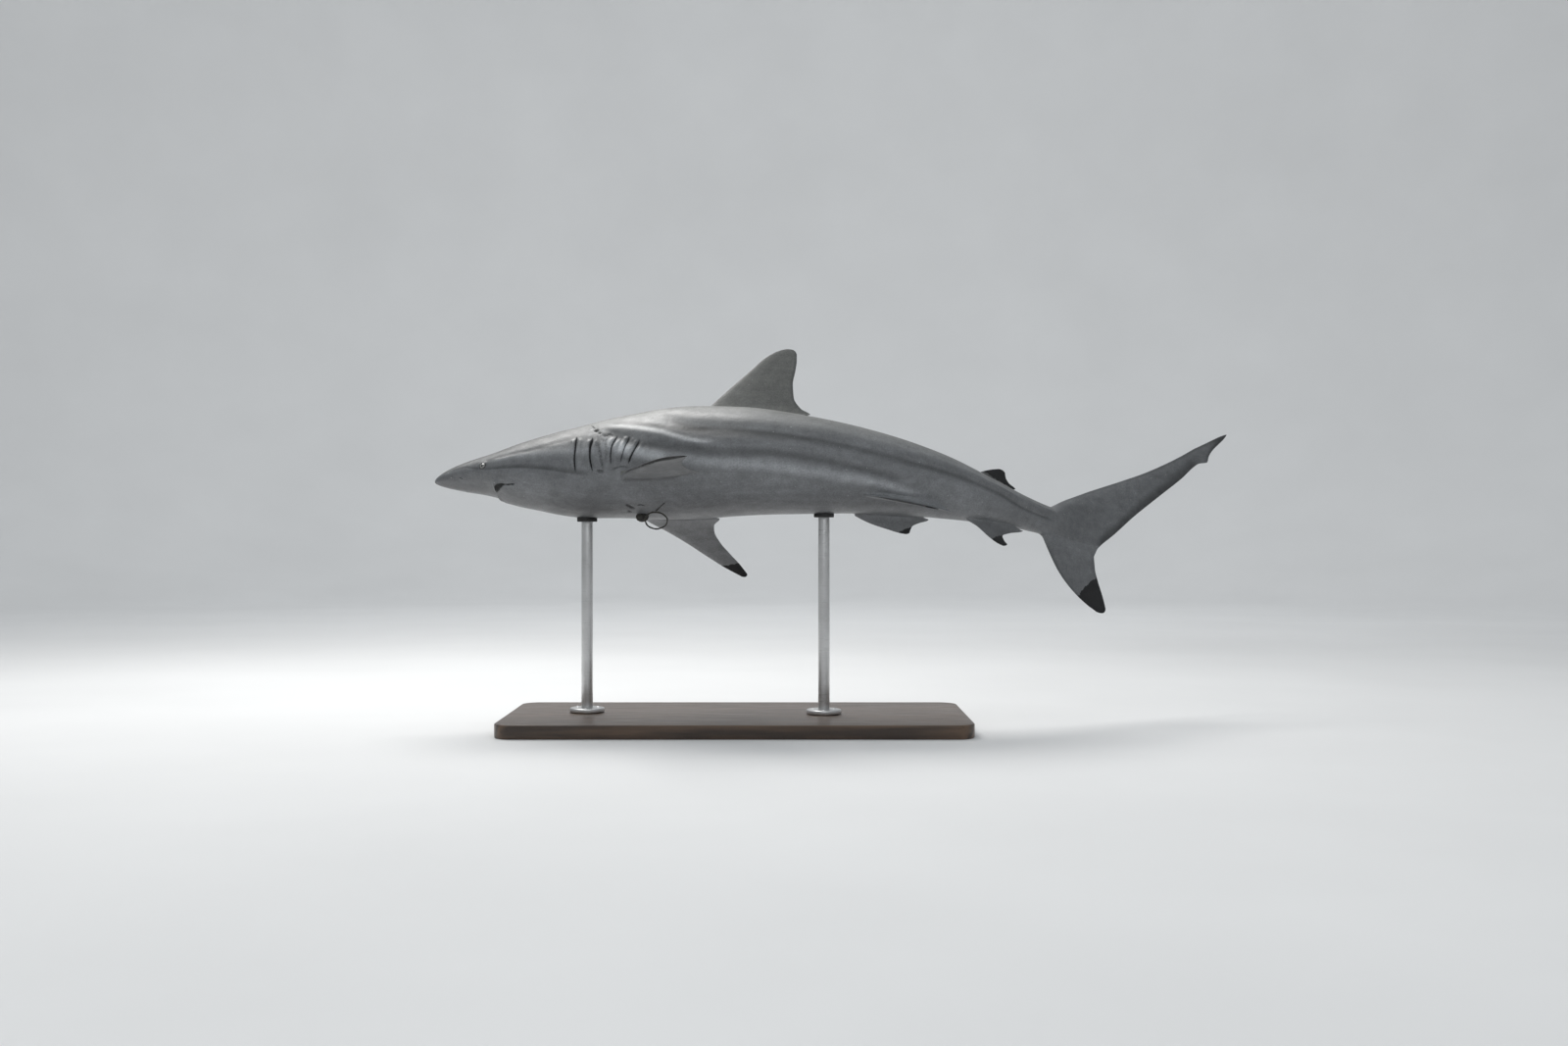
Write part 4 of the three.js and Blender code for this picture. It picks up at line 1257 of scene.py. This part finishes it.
def eye_material():
    """Iris rings and a tall pupil, from the eyeball's own axes: z is straight out."""
    m = Shader("eye_gloss", Roughness=0.08, Coat_Weight=1.0, Coat_Roughness=0.03)
    x, y, _ = m.outputs("SeparateXYZ", {0: m.attribute("rest", "Vector")})

    def oval(wide, tall):
        """The distance from the pole, 1 on an oval of this half width and half height."""
        across, up = m.math("DIVIDE", x, wide), m.math("DIVIDE", y, tall)
        return m.math("SQRT", m.plus(m.times(across, across), m.times(up, up)))

    rays = m.node("CombineXYZ", {0: m.times(m.math("ARCTAN2", y, x), 9.0), 1: m.times(oval(1, 1), 260.0)})
    fibres = m.noise(rays, 2.4, 4, 0.7)
    iris = m.mix(m.spread(fibres, 0.3, 0.7), IRIS_DARK, IRIS_PALE)
    iris = m.mix(m.spread(oval(0.0062, 0.0062), 0.82, 1.05, 0, 1, True), iris, grey(0.02))
    pupil_edge = m.plus(oval(0.0019, 0.0034), m.wander(fibres, 0.12))
    iris = m.mix(m.spread(pupil_edge, 0.93, 1.07, 1, 0, True), iris, grey(0.003))
    return m.finish(Base_Color=iris)


def tackle_material(name, value):
    """Fouled dark wire or cord."""
    m = Shader(name, Metallic=0.35)
    fouled = m.noise(m.node("TexCoord", output="Object"), 260, 5, 0.65)
    colour = m.mix(m.spread(fouled, 0.4, 0.68), grey(value, 0.05), FOULING)
    normal = m.bump(fouled, 0.0008, 0.7)
    return m.finish(Base_Color=colour, Roughness=m.spread(fouled, 0.3, 0.7, 0.35, 0.7), Normal=normal)


def wood_material():
    m = Shader("stand_walnut", Roughness=0.4, Coat_Weight=0.25, Coat_Roughness=0.25)
    at = m.node("TexCoord", output="Object")
    stretched = m.scaled(at, (0.55, 7, 7))
    waves = {"Vector": stretched, "Scale": 2.2, "Distortion": 9.0, "Detail": 3.0, "Detail Scale": 1.4}
    rings = m.node("TexWave", waves, bands_direction="Y")
    figure = m.plus(m.times(rings, 0.6), m.times(m.noise(stretched, 1.5, 3), 0.4))
    pores = m.noise(m.scaled(at, (12, 420, 420)), 1.0, 3, 0.7)
    colour = m.mix(m.spread(figure, 0.2, 0.8), WALNUT_DARK, WALNUT_LIGHT)
    colour = m.mix(m.spread(pores, 0.58, 0.72, 0, 0.6), colour, WALNUT_PORE)
    normal = m.bump(m.plus(pores, figure), 0.0003, 0.5)
    return m.finish(Base_Color=colour, Roughness=m.spread(pores, 0.4, 0.7, 0.34, 0.55), Normal=normal)


def steel_material():
    m = Shader("stand_brushed", Metallic=1.0)
    at = m.node("TexCoord", output="Object")
    lines = m.noise(m.scaled(at, (1, 1, 90)), 14, 4, 0.7)
    colour = m.mix(m.spread(m.noise(at, 18, 3), 0.3, 0.7), grey(0.5), grey(0.62))
    roughness = m.spread(lines, 0.3, 0.7, 0.24, 0.42)
    return m.finish(Base_Color=colour, Roughness=roughness, Normal=m.bump(lines, 0.0001, 0.4))


def pad_material():
    m = Shader("stand_rubber", Roughness=0.8)
    specks = m.noise(m.node("TexCoord", output="Object"), 900, 3, 0.7)
    colour = m.mix(m.spread(specks, 0.35, 0.65), grey(0.012), grey(0.03))
    roughness = m.spread(specks, 0.3, 0.7, 0.65, 0.9)
    return m.finish(Base_Color=colour, Roughness=roughness, Normal=m.bump(specks, 0.0002, 0.5))


# ---------------- eyes and tackle

EYEBALL_RINGS = 40
EYEBALL_COLUMNS = 64
CORNEA_SWELL = 0.035  # how much fuller the eyeball is at its pole, as a share of its radius
CORNEA_SPREAD = 0.55  # how far from the pole that swelling reaches, in radians
TINY = 0.001  # the radius where a lathed profile closes on its axis


def world_direction(vector, at):
    """A direction in the straight shark, turned as bend() turns it at a point."""
    step = 0.01
    return unit(bend(at + step * vector) - bend(at))


def eyeball(name, side, material):
    """A fine sphere with its pole straight out, a little fuller over the iris."""
    centre, back, up, out = eye_frame(side)
    axes = np.array([world_direction(v, centre) for v in (back, up, out)])
    rings, columns = EYEBALL_RINGS, EYEBALL_COLUMNS
    rest = [[0, 0, 1 + CORNEA_SWELL]]
    for i in range(1, rings):
        polar = math.pi * i / rings
        flat = math.sin(polar)
        height = math.cos(polar) * (1 + CORNEA_SWELL * math.exp(-(polar / CORNEA_SPREAD) ** 2))
        for turn in (2 * math.pi * j / columns for j in range(columns)):
            rest.append([flat * math.cos(turn), flat * math.sin(turn), height])
    rest.append([0, 0, -1])
    faces = []
    last = 1 + (rings - 2) * columns
    for j in range(columns):
        following = (j + 1) % columns
        faces.append([0, 1 + j, 1 + following, 1 + following])
        faces.append([last + following, last + j, len(rest) - 1, len(rest) - 1])
        for i in range(rings - 2):
            a, b = 1 + i * columns + j, 1 + i * columns + following
            faces.append([a, a + columns, b + columns, b])
    rest = np.array(rest) * EYE["radius"]
    faces = np.array(faces)
    if np.dot(np.cross(axes[0], axes[1]), axes[2]) < 0:
        faces = faces[:, ::-1]
    return mesh_object(name, (bend(centre) + rest @ axes) * MM, faces, material, rest * MM)


def tube(path, radius, sides=16, closed=False):
    """A round bar along a path of points, with its ends capped or joined. radius may vary."""
    radius = np.broadcast_to(radius, len(path))
    if closed:
        tangents = np.roll(path, -1, axis=0) - np.roll(path, 1, axis=0)
    else:
        tangents = np.gradient(path, axis=0)
    tangents = unit(tangents)
    turn = 2 * math.pi * np.arange(sides) / sides
    side = np.cross(tangents[0], [0.3, 0.5, 0.8])
    points = []
    for middle, size, tangent in zip(path, radius, tangents):
        side = unit(side - tangent * (side @ tangent))
        other = np.cross(tangent, side)
        points.append(middle + size * (np.cos(turn)[:, None] * side + np.sin(turn)[:, None] * other))
    return np.concatenate(points), ring_faces(len(path), sides, closed)


def joined(name, shapes, material):
    """One object from several (points, faces), in mm."""
    counts = np.cumsum([0] + [len(points) for points, _ in shapes])
    points = np.concatenate([points for points, _ in shapes])
    faces = np.concatenate([faces + count for (_, faces), count in zip(shapes, counts)])
    return mesh_object(name, points * MM, faces, material)


def lathe(profile, x, y, sides=64):
    """A round solid from a profile of (radius, z). Both its ends are capped."""
    turn = 2 * math.pi * np.arange(sides) / sides
    points = np.concatenate([
        np.stack([x + r * np.cos(turn), y + r * np.sin(turn), z + 0 * turn], 1) for r, z in profile])
    return points, ring_faces(len(profile), sides)


def rounded(radius, low, high, edge, steps=4):
    """The profile of a round bar with rounded ends, from its foot up."""
    turns = [math.pi / 2 * k / steps for k in range(steps + 1)]
    foot = [(radius - edge + edge * math.sin(a), low + edge - edge * math.cos(a)) for a in turns]
    top = [(radius - edge + edge * math.cos(a), high - edge + edge * math.sin(a)) for a in turns]
    return foot + top


# The tackle in the throat's skin: places in the posed frame, in mm.
RING = {"at": (-173.5, -46, 451.3), "radius": 24, "wire": 1.7, "lean": 132}
KNOT = {"at": (-204.5, -36, 458.5), "size": (14, 10, 10.5), "turns": 9, "wire": 1.5, "core": 0.86}
SPUR = {"from": (492, -86), "to": (516, -71), "radius": 1.4, "tip": 0.45, "sections": 9}


def snare_ring(material):
    """A ring of wire that is worn out of round and of uneven thickness."""
    lean = math.radians(RING["lean"])
    turn = 2 * math.pi * np.arange(120) / 120
    uneven = RING["radius"] + 0.35 * np.sin(3 * turn + 1) + 0.25 * np.sin(7 * turn)
    flat = uneven * np.sin(turn)
    path = np.stack([uneven * np.cos(turn), flat * math.cos(lean), flat * math.sin(lean)], 1) + RING["at"]
    radius = RING["wire"] * (1 + 0.07 * np.sin(11 * turn) + 0.05 * np.sin(23 * turn + 2))
    return joined("snare_ring_wire", [tube(path, radius, closed=True)], material)


def snare_knot(material):
    """Turns of wire wound in several directions over a rough core."""
    size = np.array(KNOT["size"], float)
    turn = 2 * math.pi * np.arange(48) / 48
    shapes = []
    for k in range(KNOT["turns"]):
        axis = unit(np.array([math.cos(2.4 * k), math.sin(2.4 * k) * 0.8, math.cos(1.7 * k + 1)]))
        one = unit(np.cross(axis, [0.1, 0.2, 1]))
        other = np.cross(axis, one)
        shift = 0.25 * math.sin(5 * k)
        loop = unit(one * np.cos(turn)[:, None] + other * np.sin(turn)[:, None] + axis * shift)
        path = loop * (size - KNOT["wire"]) + KNOT["at"]
        shapes.append(tube(path, KNOT["wire"], sides=10, closed=True))
    around = [math.pi * i / 14 for i in range(1, 14)]
    core = [(KNOT["core"] * math.sin(a), -KNOT["core"] * math.cos(a)) for a in around]
    points, faces = lathe(core, 0, 0, 24)
    shapes.append((points * size + KNOT["at"], faces))
    return joined("snare_knot_clump", shapes, material)


def snare_spur(material):
    """A barb of wire that lies along the skin and stands out more towards its tip."""
    start, end = (bend(body_point(s, math.radians(a))) for s, a in (SPUR["from"], SPUR["to"]))
    share = np.linspace(0, 1, SPUR["sections"])[:, None]
    out = np.array([0, -1, -0.3]) / math.hypot(1, 0.3)
    path = start + (end - start) * share + out * (SPUR["radius"] * (1 + share))
    radius = SPUR["radius"] * np.linspace(1, SPUR["tip"], SPUR["sections"])
    return joined("snare_spur_barb", [tube(path, radius, sides=12)], material)


# ---------------- the stand

BASE_CORNER = 40
BASE_EDGE = 3
CORNER_STEPS = 13
ROD_EDGE = 0.8
FOOT_EDGE = 2.5
FOOT_CLEARANCE = 0.3
SCREWS = 3
SCREW_CIRCLE = 26
SCREW_RADIUS = 4.2
SCREW_DOME = 1.6
PAD_EDGE = 1.5
PAD_RINGS = 14
PAD_PRESSED = 0.4  # how far the pad's top sinks into the skin
PAD_LEAST = 2  # the pad's lowest part, which the belly never reaches


def in_mm(node):
    """A node's lowest and highest corners, in mm."""
    low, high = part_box(node)
    return np.array(low) / MM, np.array(high) / MM


def round_in_mm(node):
    """A round upright node's middle, radius, foot and top, in mm."""
    low, high = in_mm(node)
    return (low + high)[:2] / 2, (high - low)[0] / 2, low[2], high[2]


def rounded_slab(low, high, corner, bevel):
    """A slab with rounded corners and rounded top and bottom edges."""
    half = (high - low)[:2] / 2
    middle = ((high + low) / 2)[:2]
    quarters = np.arange(4) * math.pi / 2
    turn = np.concatenate([np.linspace(q, q + math.pi / 2, CORNER_STEPS) for q in quarters])
    sign = np.repeat([[1, 1], [-1, 1], [-1, -1], [1, -1]], CORNER_STEPS, axis=0)
    points = []
    for radius, z in rounded(corner, low[2], high[2], bevel):
        out = np.stack([np.cos(turn), np.sin(turn)], 1) * radius
        at = middle + sign * (half - corner) + out
        points.append(np.column_stack([at, np.full(len(at), z)]))
    return np.concatenate(points), ring_faces(len(points), len(turn))


def belly_above(skin, x, y, from_z):
    """The height of the skin straight above a point, in mm."""
    hit, where, _, _ = skin.ray_cast(Vector((x, y, from_z)) * MM, Vector((0, 0, 1)))
    return where.z / MM if hit else math.inf


def pad_on_belly(node, skin, material):
    """A round pad whose top is hollowed to the belly that rests on it."""
    middle, radius, foot, top = round_in_mm(node)
    profile = rounded(radius, foot, top, PAD_EDGE)[:-1]
    profile += [(radius * (1 - k / PAD_RINGS) + TINY, top) for k in range(1, PAD_RINGS + 1)]
    points, faces = lathe(profile, *middle)
    for point in points:
        if point[2] > foot + PAD_LEAST:
            point[2] = min(point[2], belly_above(skin, point[0], point[1], foot) + PAD_PRESSED)
    return joined(node + "_top", [(points, faces)], material)


def rod(node, material):
    middle, radius, foot, top = round_in_mm(node)
    return joined(node + "_bar", [lathe(rounded(radius, foot, top, ROD_EDGE), *middle)], material)


def flange(node, rod_node, material):
    """The rod's foot: a collar that stands on the base, with round-headed screws in it."""
    middle, outer, foot, top = round_in_mm(node)
    bore = round_in_mm(rod_node)[1] + FOOT_CLEARANCE
    edge = [(r, z) for r, z in rounded(outer, foot, top, FOOT_EDGE) if z >= foot]
    shapes = [lathe([(bore, foot), *edge, (bore, top)], *middle)]
    dome = [
        (SCREW_RADIUS * math.cos(a), top - 0.4 + SCREW_DOME * math.sin(a)) for a in np.linspace(0, 1.5, 7)]
    for k in range(SCREWS):
        turn = 2 * math.pi * (k + 0.25) / SCREWS
        at = middle + SCREW_CIRCLE * np.array([math.cos(turn), math.sin(turn)])
        shapes.append(lathe([(SCREW_RADIUS, top - 1), *dome], *at, sides=24))
    return joined(node + "_flange", shapes, material)


def build_stand(skin, wood, steel, rubber):
    slab = rounded_slab(*in_mm("stand_base"), BASE_CORNER, BASE_EDGE)
    pieces = [(joined("stand_base_board", [slab], wood), "stand_wood", "stand_base")]
    for end in ("front", "rear"):
        rod_node, foot_node, pad_node = (f"stand_{part}_{end}" for part in ("rod", "foot", "pad"))
        pieces += [
            (rod(rod_node, steel), "stand_steel", rod_node),
            (flange(foot_node, rod_node, steel), "stand_steel", foot_node),
            (pad_on_belly(pad_node, skin, rubber), "stand_pad", pad_node),
        ]
    return pieces


# ---------------- the scene

FLESH = [
    "head", "lower_jaw", "gill_region", "trunk_front", "trunk_rear", "tail_stem", "caudal_fin_upper",
    "caudal_fin_lower", "dorsal_fin_first", "dorsal_fin_second", "anal_fin", "pectoral_fin_left",
    "pectoral_fin_right", "pelvic_fin_left", "pelvic_fin_right",
]

# The floor, in metres: flat out to a radius, then curved up into a wall.
FLOOR_FLAT = 6.0
FLOOR_CURVE = 3.0
FLOOR_WALL = 4.0
FLOOR_SIDES = 96

# Area lights: name, place, aim, size, power and colour.
LIGHTS = [
    ("key", (-0.95, 1.2, 3.0), (-0.3, 0, 0.6), (1.7, 1.3), 88, (1, 0.99, 0.97)),
    ("fill", (0.4, -4.2, 2.8), (0, 0, 0.5), (3.0, 2.0), 26, (0.95, 0.98, 1)),
    ("backdrop", (0, 3.2, 3.2), (0, 8.5, 1.6), (5.0, 1.5), 60, (0.97, 0.99, 1)),
]
SKY_COLOUR = (0.93, 0.97, 1.0, 1)
SKY_STRENGTH = 0.72

CAMERA_AT = (0.103, -3.625, 0.446)
CAMERA_LENS = 38
CAMERA_SENSOR = 36


def floor_bowl():
    """A pale floor, flat for metres round the stand, that curves up into a low wall."""
    profile = [(TINY, 0), (FLOOR_FLAT, 0)]
    for a in np.linspace(0, math.pi / 2, 24)[1:]:
        profile.append((FLOOR_FLAT + FLOOR_CURVE * math.sin(a), FLOOR_CURVE * (1 - math.cos(a))))
    profile.append((FLOOR_FLAT + FLOOR_CURVE, FLOOR_CURVE + FLOOR_WALL))
    points, faces = lathe(profile, 0, 0, FLOOR_SIDES)
    # The bowl has no caps, and faces inwards.
    faces = faces[:(len(profile) - 1) * FLOOR_SIDES, ::-1]
    m = Shader("pale_floor", Roughness=0.9)
    cloudy = m.spread(m.noise(m.node("TexCoord", output="Object"), 1.5, 3), 0.3, 0.7, 0.0, 1.0)
    material = m.finish(Base_Color=m.mix(cloudy, grey(0.7), grey(0.73)))
    return mesh_object("floor", points, faces, material)


def area_light(name, at, aim, size, power, colour):
    data = bpy.data.lights.new(name, "AREA")
    data.shape = "RECTANGLE"
    data.size, data.size_y = size
    data.energy = power
    data.color = colour
    light = scene_object(name, data)
    light.location = at
    light.rotation_euler = (Vector(aim) - Vector(at)).to_track_quat("-Z", "Y").to_euler()
    light.visible_camera = False


def set_world():
    world = bpy.data.worlds.new("studio")
    world.use_nodes = True
    background = world.node_tree.nodes["Background"]
    background.inputs["Color"].default_value = SKY_COLOUR
    background.inputs["Strength"].default_value = SKY_STRENGTH
    bpy.context.scene.world = world


def set_camera():
    data = bpy.data.cameras.new("camera")
    data.lens = CAMERA_LENS
    data.sensor_width = CAMERA_SENSOR
    camera = scene_object("camera", data)
    camera.location = CAMERA_AT
    camera.rotation_euler = (math.pi / 2, 0, 0)
    bpy.context.scene.camera = camera


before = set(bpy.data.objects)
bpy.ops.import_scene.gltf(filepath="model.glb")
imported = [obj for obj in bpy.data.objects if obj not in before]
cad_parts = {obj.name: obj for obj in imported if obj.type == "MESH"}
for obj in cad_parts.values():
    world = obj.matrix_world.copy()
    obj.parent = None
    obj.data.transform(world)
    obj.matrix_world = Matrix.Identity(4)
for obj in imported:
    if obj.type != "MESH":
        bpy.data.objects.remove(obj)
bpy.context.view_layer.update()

skin = build_skin("shark_skin_whole", skin_material())
gloss = eye_material()
wire = tackle_material("tackle_wire", 0.012)
pieces = [
    (skin, "skin", *FLESH),
    (eyeball("eye_left_ball", 1, gloss), "eye", "eye_left"),
    (eyeball("eye_right_ball", -1, gloss), "eye", "eye_right"),
    (snare_ring(wire), "tackle", "snare_ring"),
    (snare_knot(tackle_material("tackle_knot", 0.02)), "tackle", "snare_knot"),
    (snare_spur(wire), "tackle", "snare_spur"),
    *build_stand(skin, wood_material(), steel_material(), pad_material()),
]
for piece, slot, *nodes in pieces:
    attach(piece, "root")
    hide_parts(*nodes)

floor_bowl()
set_world()
for light in LIGHTS:
    area_light(*light)
bpy.context.scene.view_settings.view_transform = "Standard"
set_camera()
